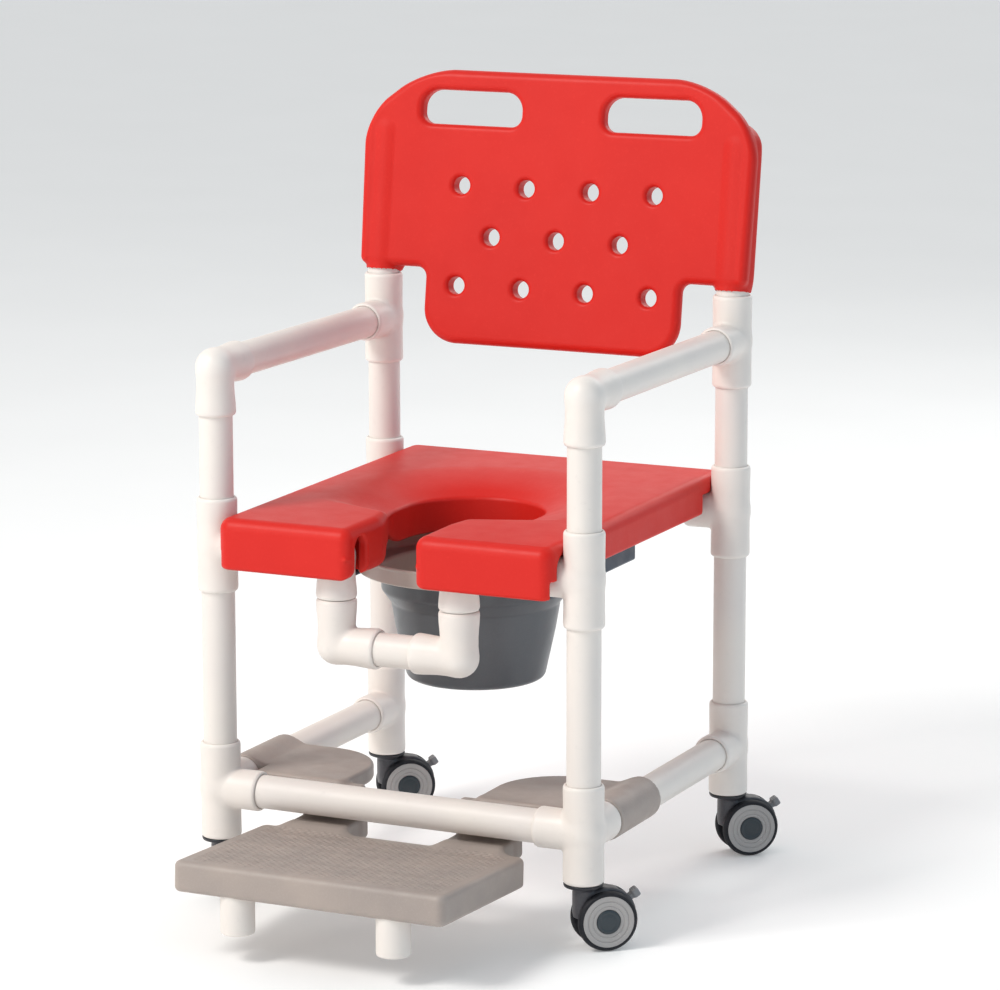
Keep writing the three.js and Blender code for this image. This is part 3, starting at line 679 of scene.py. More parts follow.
SEAT_X = SEAT_HIGH[0]
SEAT_FRONT_Y, SEAT_REAR_Y = SEAT_LOW[1], SEAT_HIGH[1]
SEAT_TOP = SEAT_HIGH[2]
SKIRT_Z = SEAT_LOW[2]
PLATE_Z = 459.0  # underside of the top
SIDE_WALL_Z = 459.0
SIDE_WALL_X = 203.0  # inner face of the side walls
FRONT_SKIRT_Y = -157.0
FRONT_WALL = 8.0
SEAT_FALL = 2.5  # the top drops this much from its middle to its front edge
SEAT_ROUNDING = 15.0
CHANNEL_R = 25.7
HORN_SLOT_R = 15.5
HORN_SLOT_Y, HORN_SLOT_Z = -10.0, 13.0  # from the front seat rail
HORN_WALL_X = 57.0
OPENING_R = 92.0
OPENING_Y = -18.0
GAP_X = 43.5
FLARE_START_Y = -192.0  # where the front gap starts to widen into the round opening
FLARE_LENGTH = 140.0
LIP_Z = 483.0
LIP_RISE = 45.0  # the lip climbs out of the dish along the horns
LIP_RISE_Y, LIP_RISE_LENGTH = -105.0, 80.0
HORN_START_Y, HORN_FADE = -120.0, 60.0
DISH_SLOPE = 0.42
DISH_ROUNDING = 16.0
HOLE_ROUNDING, HORN_ROUNDING = 3.5, 14.5
SPLASH_WALL = 7.0
SPLASH_Z = 440.0
SPLASH_REAR_Y = -35.0  # where the skirt starts to run out, over SPLASH_FADE
SPLASH_FADE = 75.0
REAR_NOTCH_Y = 195.0
NOTCH_TOP_Z = 484.5


def opening(x, y):
    """Distance to the seat's keyhole opening, negative in the hole."""
    t = np.clip((y - FLARE_START_Y) / FLARE_LENGTH, 0, 1)
    half_width = GAP_X + (OPENING_R - GAP_X) * smooth(t)
    lean = (OPENING_R - GAP_X) * 6 * t * (1 - t) / FLARE_LENGTH
    neck = (x - half_width) / np.hypot(1, lean)
    return np.where(y > OPENING_Y, np.hypot(x, y - OPENING_Y) - OPENING_R, neck)


def channel(y, z, radius, front_reach):
    """A channel along a seat rail, open downwards; y and z are measured from the rail."""
    tunnel = np.hypot(y, z) - radius
    mouth = np.maximum(within(y, -front_reach, radius), z)
    return np.minimum(tunnel, mouth)


def seat_field(p):
    x, y, z = np.abs(p[:, 0]), p[:, 1], p[:, 2]
    plan = round_max(x - SEAT_X, within(y, SEAT_FRONT_Y, SEAT_REAR_Y), 18)
    top = z - (SEAT_TOP + SEAT_FALL * y / SEAT_REAR_Y)
    body = round_max(plan, top, SEAT_ROUNDING)
    front_skirt = round_max(SKIRT_Z - z, y - FRONT_SKIRT_Y, 20)
    rear_skirt = round_max(SKIRT_Z - z, POST_Y - y, 4)
    side_wall = round_max(SIDE_WALL_Z - z, SIDE_WALL_X - x, 3)
    under = round_min(round_min(PLATE_Z - z, front_skirt, 6), rear_skirt, 6)
    body = round_max(body, np.minimum(under, side_wall), 5)
    # The top falls in a wide dish to the opening's lip; the dish fades out along the horns.
    hole = opening(x, y)
    lip = LIP_Z + LIP_RISE * smooth((LIP_RISE_Y - y) / LIP_RISE_LENGTH)
    dish = (z - lip - DISH_SLOPE * hole) / math.hypot(1, DISH_SLOPE)
    body = round_max(body, dish, DISH_ROUNDING)
    # A short skirt round the opening keeps splashes in the pail. It runs out towards the front gap.
    skirt_foot = SPLASH_Z + (PLATE_Z + 3 - SPLASH_Z) * smooth((SPLASH_REAR_Y - y) / SPLASH_FADE)
    splash = round_max(hole - SPLASH_WALL, within(z, skirt_foot, PLATE_Z + 9), 2)
    body = round_min(body, splash, 4)
    horn = smooth((HORN_START_Y - y) / HORN_FADE)
    body = round_max(body, -hole, HOLE_ROUNDING + (HORN_ROUNDING - HOLE_ROUNDING) * horn)
    front_y, rear_y, rail_z = y + POST_Y, y - POST_Y, z - SEAT_RAIL_Z
    front_reach = -SEAT_FRONT_Y - POST_Y - FRONT_WALL
    front = np.maximum(channel(front_y, rail_z, CHANNEL_R, front_reach), HORN_WALL_X - x)
    slot = channel(front_y - HORN_SLOT_Y, rail_z - HORN_SLOT_Z, HORN_SLOT_R, HORN_SLOT_R)
    rear = channel(rear_y, rail_z, CHANNEL_R, CHANNEL_R)
    body = cut(body, np.minimum(front, rear), 1.8)
    body = cut(body, slot, 4.5)
    # The corners clear the posts' fittings and the rear tees' branches.
    notch = np.maximum(np.maximum(SIDE_WALL_X - x, REAR_NOTCH_Y - y), z - NOTCH_TOP_Z)
    fitting = np.hypot(x - POST_X, np.abs(y) - POST_Y) - CHANNEL_R
    return cut(cut(body, notch, 3.5), fitting, 2.5)


def add_seat():
    xs = steps((-SEAT_X - 5, -200, 2.2), (-200, 200, 3.0), (200, SEAT_X + 5, 2.2))
    ys = steps((SEAT_FRONT_Y - 4, -195, 2.0), (-195, 195, 3.0), (195, SEAT_REAR_Y + 4, 2.0))
    zs = steps((SKIRT_Z - 4, SEAT_TOP + 6, 2.2))
    vertices, faces, normals = surface_of(seat_field, xs, ys, zs)
    stand_for(add_object("seat_moulding", vertices, faces, RED, normals), "seat", "seat_plastic")


# ---- backrest ----

BACK_LEAN = math.radians(8)
BACK_BASE_Z = ARM_Z + FITTING_REACH
BACK_TOP_H = 272.0
TONGUE_H = -88.0
WING_H = 10.0
TONGUE_X = 183.0
TONGUE_TOP_H = 252.0
TONGUE_ROUNDING = 46.0
EDGE_X = 280.0
SHOULDER_H = 208.0
SHOULDER_X = 200.0
SHOULDER_ROUNDING = 32.0
TOP_ROUNDING = 28.0
PANEL_BACK, PANEL_FRONT = -14.0, 9.5
PANEL_HOLLOW = 18.0  # the face curves forwards this much from its middle to its edges
PANEL_ROUNDING = 11.0
SLEEVE_R = 24.3
SLEEVE_FOOT_H = 4.0
SLEEVE_TOP_H = 189.0
SLEEVE_FOOT_R = 23.2
SLEEVE_FLARE_H = 30.0
FRONT_BLEND, REAR_BLEND = 4.0, 22.0  # fillets between a sleeve and the panel
BACK_BORE_R = 21.4
BACK_BORE_H = 188.0
HOLE_R = 11.5
HOLE_PITCH_X = 92.0
HOLE_PITCH_H = 66.0
LOWEST_HOLES_H = -11.5
SLOT_X = (59.0, 199.0)
SLOT_H = (200.0, 245.0)
POST_BEND_R = 60.0
POST_BEND_DROP = 6.0  # the bend starts this much below the arm tee's top
POST_LEANING = 170.0  # length of the post above its bend
POST_SIDES = 40


def stand_up(p):
    """From (across, up the panel, forwards) to chair millimetres, leaned back about the tees' tops."""
    sine, cosine = math.sin(BACK_LEAN), math.cos(BACK_LEAN)
    x, h, n = p.T
    return np.stack([x, POST_Y - n * cosine + h * sine, BACK_BASE_Z + n * sine + h * cosine], 1)


def back_outline(x, h):
    side = x - (EDGE_X - 4 + 4 * (h - WING_H) / (SHOULDER_H - WING_H))
    run, rise = EDGE_X - SHOULDER_X, BACK_TOP_H - SHOULDER_H
    slope = ((x - SHOULDER_X) * rise + (h - BACK_TOP_H) * run) / math.hypot(run, rise)
    upper = round_max(side, slope, SHOULDER_ROUNDING)
    upper = round_max(upper, h - BACK_TOP_H, TOP_ROUNDING)
    upper = round_max(upper, WING_H - h, 10)
    tongue = np.maximum(round_max(x - TONGUE_X, TONGUE_H - h, TONGUE_ROUNDING), h - TONGUE_TOP_H)
    return round_min(upper, tongue, 13)


def hand_slot(x, h):
    low = round_max(within(x, *SLOT_X), SLOT_H[0] - h, 15)
    high = round_max(within(x, *SLOT_X), h - SLOT_H[1], 24)
    return np.where(h < sum(SLOT_H) / 2, low, high)


def drain_holes(x, h):
    """Distance to the nearest of eleven holes, in rows of four, three and four."""
    row = np.clip(np.round((h - LOWEST_HOLES_H) / HOLE_PITCH_H), 0, 2)
    middle_row = row == 1
    shift = np.where(middle_row, 0, HOLE_PITCH_X / 2)
    furthest = np.where(middle_row, HOLE_PITCH_X, HOLE_PITCH_X * 1.5)
    column = np.round((x - shift) / HOLE_PITCH_X) * HOLE_PITCH_X + shift
    column = np.clip(column, -furthest, furthest)
    return np.hypot(x - column, h - LOWEST_HOLES_H - row * HOLE_PITCH_H) - HOLE_R


def back_field(p):
    x, h, n = np.abs(p[:, 0]), p[:, 1], p[:, 2]
    bowed = n - PANEL_HOLLOW * (x / EDGE_X) ** 2
    panel = round_max(back_outline(x, h), within(bowed, PANEL_BACK, PANEL_FRONT), PANEL_ROUNDING)
    past_top = np.maximum(h - SLEEVE_TOP_H, 0)
    radius = SLEEVE_FOOT_R + (SLEEVE_R - SLEEVE_FOOT_R) * smooth(h / SLEEVE_FLARE_H)
    sleeve = np.sqrt((x - POST_X) ** 2 + n ** 2 + past_top ** 2) - radius
    blend = FRONT_BLEND + (REAR_BLEND - FRONT_BLEND) * smooth((8 - n) / 16)
    body = round_min(panel, round_max(sleeve, SLEEVE_FOOT_H - h, 1), blend)
    flare = np.where(bowed > (PANEL_BACK + PANEL_FRONT) / 2, 6.0, 3.0)
    body = cut(body, drain_holes(p[:, 0], h), flare)
    body = cut(body, hand_slot(x, h), 8)
    bore = np.maximum(np.hypot(x - POST_X, n) - BACK_BORE_R, h - BACK_BORE_H)
    return cut(body, bore, 0.4)


def add_backrest():
    edge = EDGE_X + 7  # the shoulder fillets stand a little proud of the edges
    xs = steps((-edge, -222, 1.3), (-222, 222, 2.8), (222, edge, 1.3))
    hs = steps((TONGUE_H - 4, -2, 2.8), (-2, 16, 1.5), (16, BACK_TOP_H + 4, 2.8))
    ns = steps((-28, 34, 1.35))
    vertices, faces, normals = surface_of(back_field, xs, hs, ns)
    leaned = stand_up(normals) - stand_up(np.zeros((1, 3)))
    obj = add_object("back_panel_moulding", stand_up(vertices), faces, RED, leaned)
    stand_for(obj, "back_panel", "seat_plastic")


def add_back_posts():
    """Bent pipes: straight in the arm tees, then leaned back inside the backrest's sleeves."""
    leans = np.linspace(0, BACK_LEAN, 7)
    bend = np.stack([
        POST_Y + POST_BEND_R * (1 - np.cos(leans)),
        BACK_BASE_Z - POST_BEND_DROP + POST_BEND_R * np.sin(leans),
    ], 1)
    top = bend[-1] + POST_LEANING * np.array((math.sin(BACK_LEAN), math.cos(BACK_LEAN)))
    turn = np.arange(POST_SIDES) * 2 * math.pi / POST_SIDES
    for side, sx in SIDES_OF_CHAIR:
        node = f"back_post_{side}"
        path = np.vstack([(POST_Y, span(node)[0][2]), bend, top])
        rise = np.vstack([path[1:], path[-1:]]) - np.vstack([path[:1], path[:-1]])
        rise /= np.linalg.norm(rise, axis=1, keepdims=True)
        stations = [(PIPE_R, here, up) for here, up in zip(path, rise)]
        stations += [(PIPE_INNER_R, here, up) for here, up in zip(path[::-1], rise[::-1])]
        vertices = np.concatenate([np.stack([
            sx * POST_X + radius * np.cos(turn),
            here[0] + up[1] * radius * np.sin(turn),
            here[1] - up[0] * radius * np.sin(turn),
        ], 1) for radius, here, up in stations])
        low = np.arange(len(vertices)).reshape(-1, POST_SIDES)
        high = np.roll(low, -1, 0)
        faces = np.stack([low, high, np.roll(high, -1, 1), np.roll(low, -1, 1)], 2).reshape(-1, 4)
        obj = add_object(f"{node}_tube", vertices, faces.tolist(), PIPE_ALONG[2])
        stand_for(obj, node, "pipe_plastic")


# ---- pail and guides ----

FLANGE_HEIGHT = 22.0
GUIDE_FLANGE = 18.0
GUIDE_WALL = 4.0
GUIDE_PLATE = 4.7  # thickness of a guide's ledge and of its flange


def add_pail():
    foot, rim = PAIL_LOW[2], PAIL_HIGH[2]
    flange_r = (PAIL_HIGH[0] - PAIL_LOW[0]) / 2
    axis_y = (PAIL_LOW[1] + PAIL_HIGH[1]) / 2
    flange = rim - FLANGE_HEIGHT
    profile = rounded_path([
        (foot + 3, 0, 0), (foot + 3, 66, 3), (foot, 72, 3), (foot, 88, 9), (foot + 64, 102, 30),
        (foot + 99, 108, 10), (foot + 116, 120.5, 9), (flange, 121.5, 5),
        (flange, flange_r, 2.2), (rim - 4, flange_r - 0.6, 1), (rim - 3, flange_r, 1), (rim, flange_r, 1.4),
        (rim, flange_r - 4, 1.4), (flange + 4, flange_r - 5, 4), (flange + 4, 117, 5),
        (foot + 117, 116.6, 8), (foot + 100, 104, 9), (foot + 65, 98.5, 30), (foot + 6, 85, 9),
        (foot + 6, 0, 0),
    ], 6, closed=False)
    vertices, faces = revolve(profile, (0, axis_y, 0), (0, 0, 1), 128)
    obj = add_object("pail_moulding", vertices, faces, PAIL_OUTSIDE_PAINTED_SHADE)
    obj.data.materials.append(PAIL_LINING_PAINTED_LIGHT)
    # Faces turned inwards and faces at or above the flange get the lighter copy: painted light on the
    # lining and rim.
    axis = Vector(to_row([(0, axis_y, flange)])[0])
    for polygon in obj.data.polygons:
        outwards = polygon.center - axis
        faces_inwards = polygon.normal.x * outwards.x + polygon.normal.y * outwards.y < 0
        if faces_inwards or outwards.z > -0.001:
            polygon.material_index = 1
    stand_for(obj, "pail", "pail_plastic")


def add_guides():
    """Each guide is a Z section: a flange under the seat, a wall and a ledge for the pail's rim."""
    for side, sx in SIDES_OF_CHAIR:
        node = f"pail_guide_{side}"
        low, high = span(node)
        inner, outer = (low[0], high[0]) if sx > 0 else (-high[0], -low[0])
        wall_outer = outer - GUIDE_FLANGE
        wall_inner = wall_outer - GUIDE_WALL
        ledge_top, flange_foot = low[2] + GUIDE_PLATE, high[2] - GUIDE_PLATE
        profile = rounded_path([
            (inner, low[2], 1), (wall_outer, low[2], 3), (wall_outer, flange_foot, 1.5),
            (outer, flange_foot, 1), (outer, high[2], 1), (wall_inner, high[2], 1),
            (wall_inner, ledge_top, 1.5), (inner, ledge_top, 1.4),
        ], 4)
        count = len(profile)
        vertices = np.array([(sx * x, y, z) for y in (low[1], high[1]) for x, z in profile])
        faces = [(i, (i + 1) % count, count + (i + 1) % count, count + i) for i in range(count)]
        faces += [tuple(range(count))[::-1], tuple(range(count, 2 * count))]
        if sx > 0:
            faces = [face[::-1] for face in faces]
        stand_for(add_object(f"{node}_rail", vertices, faces, GUIDE), node, "guide_plastic")


# ---- footrest ----

PLATFORM_REAR_Y = -247.0
PLATFORM_REAR_Z = 111.0
PLATFORM_LENGTH = 232.0
PLATFORM_X = 182.0
PLATFORM_THICKNESS = 38.0
PLATFORM_RISE = math.radians(2.8)
ARM_X = (67.0, 147.0)
ARM_LOW_Z, ARM_TOP_Z = 92.0, 118.0
ARM_FRONT_Y, ARM_REAR_Y = -300.0, -186.0
ARM_RAMP_Y = -250.0
RAMP_SLOPE = math.atan2(10, 12)
RISER_FRONT_Y = -206.0
RISER_TOP_Z = 160.0
WING_X = 91.0
WING_TIP_X = 218.0
WING_ROUNDING = 86.0
WING_FRONT_Y, WING_REAR_Y = -205.0, FOOTREST_HIGH[1]
WING_LOW_Z, WING_TOP_Z = 144.0, 165.0
RAIL_SLEEVE_R = 27.0
RAIL_SLEEVE_FRONT_Y = -171.5
FOOT_X, FOOT_Y = 105.0, -456.0
SOCKET_TOP_Z = 106.0
TREAD_BORDER = 15.0
TREAD_PITCH = (11.0, 9.5)
TREAD_HEIGHT = 0.9


def platform_field(p):
    sine, cosine = math.sin(PLATFORM_RISE), math.cos(PLATFORM_RISE)
    dy, dz = p[:, 1] - PLATFORM_REAR_Y, p[:, 2] - PLATFORM_REAR_Z
    x, y, z = np.abs(p[:, 0]), dy * cosine - dz * sine, dy * sine + dz * cosine
    plan = round_max(x - PLATFORM_X, within(y, -PLATFORM_LENGTH, 0), 11)
    fade = smooth(-(plan + TREAD_BORDER) / 4)
    pebble = np.cos(2 * math.pi * p[:, 0] / TREAD_PITCH[0]) * np.cos(2 * math.pi * y / TREAD_PITCH[1])
    tread = TREAD_HEIGHT * fade * smooth(pebble * 1.2)
    body = round_max(plan, z - tread, 7)
    return round_max(body, -PLATFORM_THICKNESS - z, 6)


def footrest_field(p):
    mirrored = np.stack([np.abs(p[:, 0]), p[:, 1], p[:, 2]], 1)
    x, y, z = mirrored.T
    solid = platform_field(p)
    arm = block(mirrored, ARM_X, (ARM_FRONT_Y, ARM_REAR_Y), (ARM_LOW_Z, ARM_TOP_Z), 5)
    ramp = (z - ARM_TOP_Z) * math.cos(RAMP_SLOPE) - (y - ARM_RAMP_Y) * math.sin(RAMP_SLOPE)
    arm = round_max(arm, ramp, 8)
    riser = block(mirrored, ARM_X, (RISER_FRONT_Y, ARM_REAR_Y), (ARM_LOW_Z, RISER_TOP_Z), 5)
    solid = round_min(round_min(solid, arm, 18), riser, 7)
    plan = round_max(WING_X - x, y - WING_REAR_Y, WING_ROUNDING)
    plan = round_max(plan, WING_FRONT_Y - y, 12)
    plan = np.maximum(plan, x - POST_X)
    plan = np.maximum(plan, np.minimum(x - WING_TIP_X, RAIL_SLEEVE_FRONT_Y - y))
    wing = round_max(plan, within(z, WING_LOW_Z, WING_TOP_Z), 5)
    solid = round_min(solid, wing, 7)
    sleeve = np.hypot(x - POST_X, z - LOWER_RAIL_Z) - RAIL_SLEEVE_R
    sleeve = round_max(sleeve, within(y, RAIL_SLEEVE_FRONT_Y, WING_REAR_Y), 2)
    solid = round_max(round_min(solid, sleeve, 9), y - WING_REAR_Y, 1)
    bore = np.hypot(x - POST_X, z - LOWER_RAIL_Z) - PIPE_R - 0.5
    solid = cut(solid, bore, 1)
    socket = np.maximum(np.hypot(x - FOOT_X, y - FOOT_Y) - PIPE_R - 0.4, z - SOCKET_TOP_Z)
    return cut(solid, socket, 1)


def add_footrest():
    reach = POST_X + RAIL_SLEEVE_R + 4
    xs = steps((-reach, reach, 2.4))
    ys = steps((FOOTREST_LOW[1] - 4, PLATFORM_REAR_Y - 4, 2.2), (PLATFORM_REAR_Y - 4, WING_REAR_Y + 4, 2.8))
    zs = steps((PLATFORM_REAR_Z - PLATFORM_THICKNESS - 4, LOWER_RAIL_Z + RAIL_SLEEVE_R + 4, 2.4))
    vertices, faces, normals = surface_of(footrest_field, xs, ys, zs)
    obj = add_object("footrest_moulding", vertices, faces, FOOTREST, normals)
    stand_for(obj, "footrest", "footrest_plastic")
    for side, _ in SIDES_OF_CHAIR:
        node = f"footrest_foot_{side}"
        x, y = centre(node)[:2]
        height = size(node)[2]
        profile = rounded_path([
            (0, 0, 0), (0, PIPE_R, 2.5), (height, PIPE_R, 0.6),
            (height, PIPE_INNER_R, 0.6), (6, PIPE_INNER_R, 2), (6, 0, 0),
        ], 4, closed=False)
        foot = revolve(profile, (x, y, span(node)[0][2]), UP, PIPE_SIDES)
        stand_for(add_object(f"{node}_tube", *foot, PIPE_ALONG[2]), node, "pipe_plastic")


# ---- casters ----

CASTER_HEADING = math.radians(40)
CASTER_TRAIL = 26.0
AXLE_R = 4.6
AXLE_HALF = 14.0
STEM_R = 5.5
WHEEL_INNER, WHEEL_OUTER = 11.5, 24.0
DISC_R = 32.6
CAP_R = 15.0
HOOD_R = 34.6
HOOD_AHEAD, HOOD_RISE = 4.0, 4.5  # of the hood's centre from the axle
NECK_R = 12.5
HOUSING_LOW_Z, HOUSING_TOP_Z = 15.0, 78.2
FLARE_Z = 74.5
PEDAL_SLOT_X, PEDAL_SLOT_HALF, PEDAL_SLOT_Z = 43.0, 6.6, 46.0
RIB_PITCH = 2.6
PEDAL_PIVOT = (46.5, 54.5)
PEDAL_ANGLE = math.radians(32)


def in_caster(vertices, post):
    """From a caster's own frame, x along its trail and y along its axle, to chair millimetres."""
    cosine, sine = math.cos(CASTER_HEADING), math.sin(CASTER_HEADING)
    x, y, z = np.asarray(vertices, float).T
    return np.stack([post[0] + x * cosine - y * sine, post[1] + x * sine + y * cosine, z], 1)


def housing_field(p):
    x, y, z = p.T
    hood = np.hypot(x - CASTER_TRAIL - HOOD_AHEAD, z - WHEEL_R - HOOD_RISE) - HOOD_R
    hood = round_max(hood, np.abs(y) - (WHEEL_INNER - 1), 3)
    neck = round_max(np.hypot(x, y) - NECK_R, within(z, 40, HOUSING_TOP_Z), 1)
    shoulder = block(p, (-11, 26), (-10.5, 10.5), (44, FLARE_Z), 4)
    solid = round_min(round_min(hood, shoulder, 8), neck, 5)
    flare = np.hypot(x, y) - (13 + 4 * smooth((z - FLARE_Z + 0.5) / 4))
    solid = round_min(solid, round_max(flare, within(z, FLARE_Z, HOUSING_TOP_Z), 0.8), 2)
    solid = round_max(solid, HOUSING_LOW_Z - z, 2)
    solid = cut(solid, np.hypot(x - CASTER_TRAIL, z - WHEEL_R) - AXLE_R - 0.3, 0.5)
    slot = np.maximum(np.maximum(PEDAL_SLOT_X - x, np.abs(y) - PEDAL_SLOT_HALF), PEDAL_SLOT_Z - z)
    return cut(solid, slot, 1)


def pedal_field(p):
    lever = block(p, (-2, 24), (-6, 6), (-4, 3), 2)
    toe = block(p, (18, 27), (-7.5, 7.5), (-5, 6), 2.4)
    solid = round_min(lever, toe, 2)
    rib = np.hypot((p[:, 0] + RIB_PITCH / 2) % RIB_PITCH - RIB_PITCH / 2, p[:, 2] - 6.4) - 0.9
    rib = np.maximum(rib, 19 - p[:, 0])
    return cut(solid, rib, 0.3)


def wheel_profiles():
    """Tyre, disc and cap of one wheel: (out along the axle, radius) from the caster's middle."""
    tyre = rounded_path([
        (WHEEL_INNER, 29, 1), (WHEEL_INNER, WHEEL_R - 1.2, 3), (WHEEL_INNER + 4.5, WHEEL_R, 5),
        (WHEEL_OUTER - 5.5, WHEEL_R, 5), (WHEEL_OUTER - 1.6, WHEEL_R - 2.2, 3.2),
        (WHEEL_OUTER - 1.2, DISC_R + 0.2, 1), (WHEEL_OUTER - 4, 29, 1),
    ], 5)
    face = WHEEL_OUTER - 1.4
    disc = rounded_path([
        (WHEEL_INNER + 1, 0, 0), (WHEEL_INNER + 1, 28.8, 1), (face - 1.6, DISC_R, 0.8),
        (face, DISC_R - 0.6, 0.9), (face, 26.6, 0.8), (face - 0.9, 26.0, 0.5), (face - 0.9, 25.2, 0.5),
        (face - 0.1, 24.6, 0.5), (face - 0.5, 20.4, 0.5), (face - 1.2, 20.0, 0.4), (face - 1.2, 19.4, 0.4),
        (face - 0.6, 18.9, 0.4), (face - 0.8, CAP_R + 0.4, 0.4), (face - 2.2, CAP_R + 0.4, 0.4),
        (face - 2.2, 0, 0),
    ], 4, closed=False)
    cap = rounded_path([
        (face - 2.1, 0, 0), (face - 2.1, CAP_R, 0.5), (face + 0.4, CAP_R - 0.2, 1.0),
        (face + 0.9, CAP_R - 3, 2), (face + 0.4, CAP_R - 4.6, 1.2), (face + 0.9, 6, 8), (face + 1.1, 0, 0),
    ], 4, closed=False)
    return (("tyre", tyre, RUBBER, "tread"), ("disc", disc, DISC, "caster_housing"),
            ("cap", cap, HUB_CAP, "caster_housing"))


def insert_profile():
    fitting_foot = LOWER_RAIL_Z - BOTTOM_REACH
    return rounded_path([
        (78.5, STEM_R + 0.2, 0.4), (78.5, 21.5, 1.2), (79.6, 24.0, 1.2), (fitting_foot - 0.4, 24.9, 0.8),
        (fitting_foot - 0.1, PIPE_R, 0.2), (fitting_foot + 28, PIPE_R, 1),
        (fitting_foot + 28, STEM_R + 0.2, 0.5),
    ], 4)


def add_housing(end, side, post):
    node = f"caster_housing_{end}_{side}"
    grid = (steps((-22, 70, 1.4)), steps((-19, 19, 1.4)), steps((11, 82, 1.4)))
    vertices, faces, normals = surface_of(housing_field, *grid)
    place, turned = in_caster(vertices, post), in_caster(normals, (0, 0))
    obj = add_object(f"{node}_moulding", place, faces, HOUSING, turned)
    stand_for(obj, node, "caster_housing")
    stem_top = span(node)[1][2]
    stem = revolve(rounded_path([
        (60, 0, 0), (60, STEM_R, 0.5), (stem_top, STEM_R, 1), (stem_top, 0, 0),
    ], 3, closed=False), (*post, 0), UP, 32)
    go_with(add_object(f"caster_stem_{end}_{side}", *stem, STEEL), node, "caster_housing")


def add_wheels(end, side, post):
    node = f"caster_wheels_{end}_{side}"
    axle_direction = Vector((-math.sin(CASTER_HEADING), math.cos(CASTER_HEADING), 0))
    hub = in_caster([(CASTER_TRAIL, 0, WHEEL_R)], post)[0]
    for flank, sign in (("outer", -1), ("inner", 1)):
        for part, profile, material, slot in wheel_profiles():
            shape = revolve(profile, hub, axle_direction * sign, 96)
            obj = add_object(f"wheel_{part}_{end}_{side}_{flank}", *shape, material)
            first = part == "tyre" and flank == "outer"
            (stand_for if first else go_with)(obj, node, slot)
    axle = revolve(rounded_path([
        (-AXLE_HALF, 0, 0), (-AXLE_HALF, AXLE_R, 0.4), (AXLE_HALF, AXLE_R, 0.4), (AXLE_HALF, 0, 0),
    ], 2, closed=False), hub, axle_direction, 32)
    go_with(add_object(f"wheel_axle_{end}_{side}", *axle, STEEL), node, "caster_housing")


def add_pedal(end, side, post):
    node = f"brake_pedal_{end}_{side}"
    grid = (steps((-5, 31, 0.7)), steps((-9, 9, 0.8)), steps((-7, 8, 0.6)))
    vertices, faces, normals = surface_of(pedal_field, *grid)
    cosine, sine = math.cos(PEDAL_ANGLE), math.sin(PEDAL_ANGLE)

    def lifted(points, pivot=(0, 0)):
        x, y, z = points.T
        return np.stack([x * cosine - z * sine + pivot[0], y, x * sine + z * cosine + pivot[1]], 1)

    place, turned = in_caster(lifted(vertices, PEDAL_PIVOT), post), in_caster(lifted(normals), (0, 0))
    obj = add_object(f"{node}_moulding", place, faces, PEDAL, turned)
    stand_for(obj, node, "brake_pedal")


def add_insert(end, side, post):
    node = f"caster_insert_{end}_{side}"
    bush = revolve(insert_profile(), (*post, 0), UP, 64)
    stand_for(add_object(f"{node}_bush", *bush, BLACK), node, "caster_insert")


def add_casters():
    for end, sy in ENDS_OF_CHAIR:
        for side, sx in SIDES_OF_CHAIR:
            for add_part in (add_housing, add_wheels, add_pedal, add_insert):
                add_part(end, side, (sx * POST_X, sy * POST_Y))


# ---- studio ----

CAMERA_AZIMUTH = math.radians(25.28)
CAMERA_ELEVATION = math.radians(11.11)
CAMERA_ROLL = math.radians(-0.07)
CAMERA_DISTANCE = 5.3131
CAMERA_LENS = 150.93
CAMERA_SHIFT_Y = 0.00143
CAMERA_AIM = (29.8, 0.0, 501.8)  # chair millimetres


def add_camera():
    data = bpy.data.cameras.new("camera")
    data.lens = CAMERA_LENS
    data.sensor_width = 36
    data.shift_y = CAMERA_SHIFT_Y
    data.clip_end = 200
    camera = bpy.data.objects.new("camera", data)
    bpy.context.scene.collection.objects.link(camera)
    turn = Matrix.Rotation(CAMERA_AZIMUTH, 4, "Z")
    turn @= Matrix.Rotation(math.pi / 2 - CAMERA_ELEVATION, 4, "X")
    turn @= Matrix.Rotation(CAMERA_ROLL, 4, "Z")
    place = Vector(to_row([CAMERA_AIM])[0]) + turn @ Vector((0, 0, CAMERA_DISTANCE))
    camera.matrix_world = Matrix.Translation(place) @ turn
    bpy.context.scene.camera = camera


def add_light(name, place, size, power, colour):
    data = bpy.data.lights.new(name, "AREA")
    data.shape = "RECTANGLE"
    data.size, data.size_y = size
    data.energy = power
    data.color = colour
    light = bpy.data.objects.new(name, data)
    bpy.context.scene.collection.objects.link(light)
    aim = Vector((0, 0.1, 0.5))
    light.location = place
    light.rotation_euler = (aim - Vector(place)).to_track_quat("-Z", "Y").to_euler()


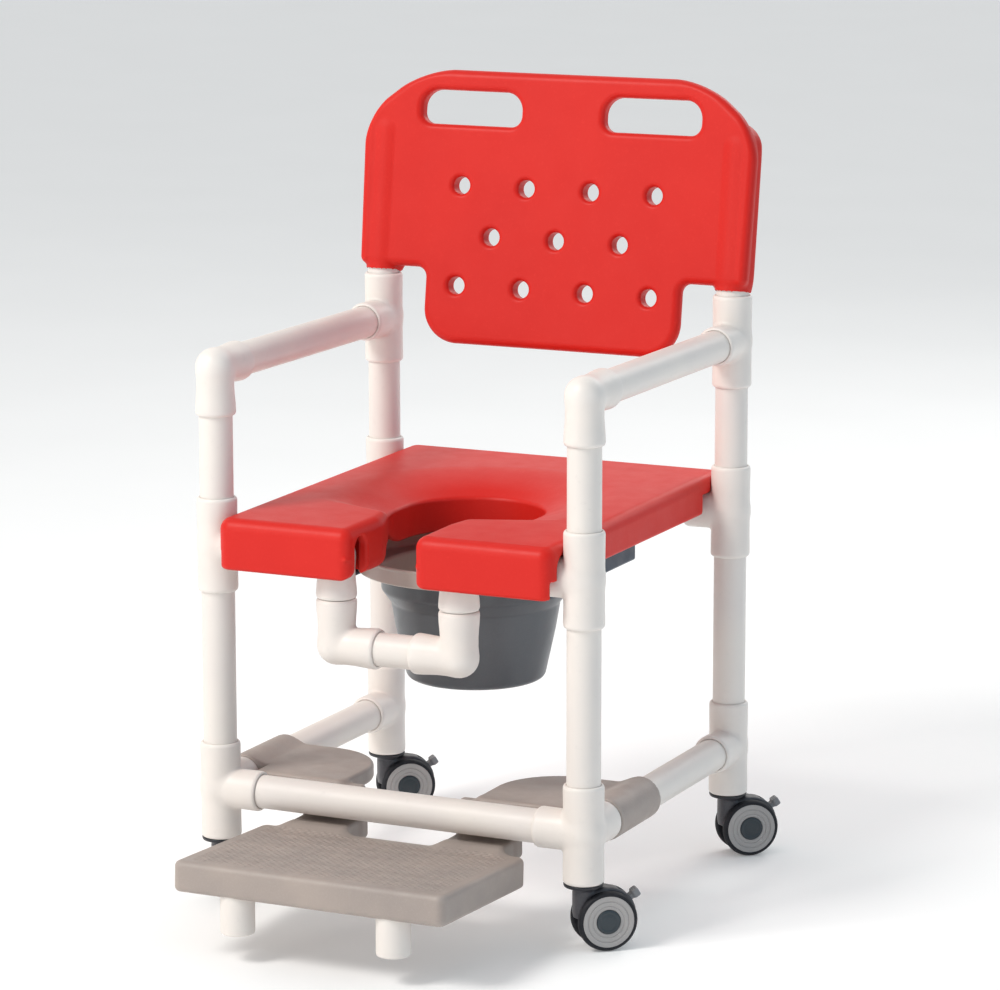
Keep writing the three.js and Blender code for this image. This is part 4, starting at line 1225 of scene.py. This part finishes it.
def add_world():
    """A white surround: brightest behind the chair, cooler and dimmer towards the chair's right."""
    world = bpy.data.worlds.new("studio")
    world.use_nodes = True
    nodes = Nodes(world.node_tree)
    split = nodes.node("ShaderNodeSeparateXYZ")
    ramp = nodes.node("ShaderNodeValToRGB")
    background = world.node_tree.nodes["Background"]
    nodes.link(nodes.node("ShaderNodeTexCoord").outputs["Generated"], split.inputs["Vector"])
    nodes.link(nodes.spread(split.outputs["X"], 0, 1, -1, 1), ramp.inputs["Fac"])
    ramp.color_ramp.elements[0].position = 0.35
    ramp.color_ramp.elements[0].color = (1.0, 0.98, 0.95, 1)
    ramp.color_ramp.elements[1].color = (0.36, 0.50, 0.62, 1)
    nodes.link(ramp.outputs["Color"], background.inputs["Color"])
    nodes.link(nodes.spread(split.outputs["Y"], 0.58, 0.95, -0.2, 0.6), background.inputs["Strength"])
    bpy.context.scene.world = world


PAPER = (243.445,) * 3  # a linear 0.90
PAPER_SHADE = (241.046,) * 3  # a linear 0.88


def add_floor():
    extent = 60.0
    mesh = bpy.data.meshes.new("floor")
    corners = [(-extent, -extent, 0), (extent, -extent, 0), (extent, extent, 0), (-extent, extent, 0)]
    mesh.from_pydata(corners, [], [(0, 1, 2, 3)])
    finish = Finish("floor_paper", PAPER, specular=0.2)
    finish.tint(finish.spread(finish.noise(0.4), 0, 1), PAPER_SHADE)
    finish.bump(finish.noise(0.003), 0.00005)
    finish.shader.inputs["Emission Color"].default_value = (1, 1, 1, 1)
    finish.shader.inputs["Emission Strength"].default_value = 0.14
    mesh.materials.append(finish.done(0.8))
    floor = bpy.data.objects.new("floor", mesh)
    bpy.context.scene.collection.objects.link(floor)


def add_studio():
    bpy.context.scene.view_settings.view_transform = "Standard"
    add_world()
    add_floor()
    add_light("key", (-1.9, -3.0, 4.1), (1.6, 1.6), 150, (1.0, 0.97, 0.93))
    add_light("sheen", (-1.9, -4.0, 1.4), (1.4, 1.4), 24, (1.0, 0.97, 0.93))
    add_light("fill", (3.6, -1.2, 1.4), (1.6, 1.6), 9, (0.62, 0.82, 1.0))
    add_light("back", (0.8, 3.6, 2.8), (2.4, 1.6), 40, (1.0, 0.98, 0.95))


add_camera()
add_pipes()
add_fittings()
add_seat()
add_backrest()
add_back_posts()
add_pail()
add_guides()
add_footrest()
add_casters()
add_studio()
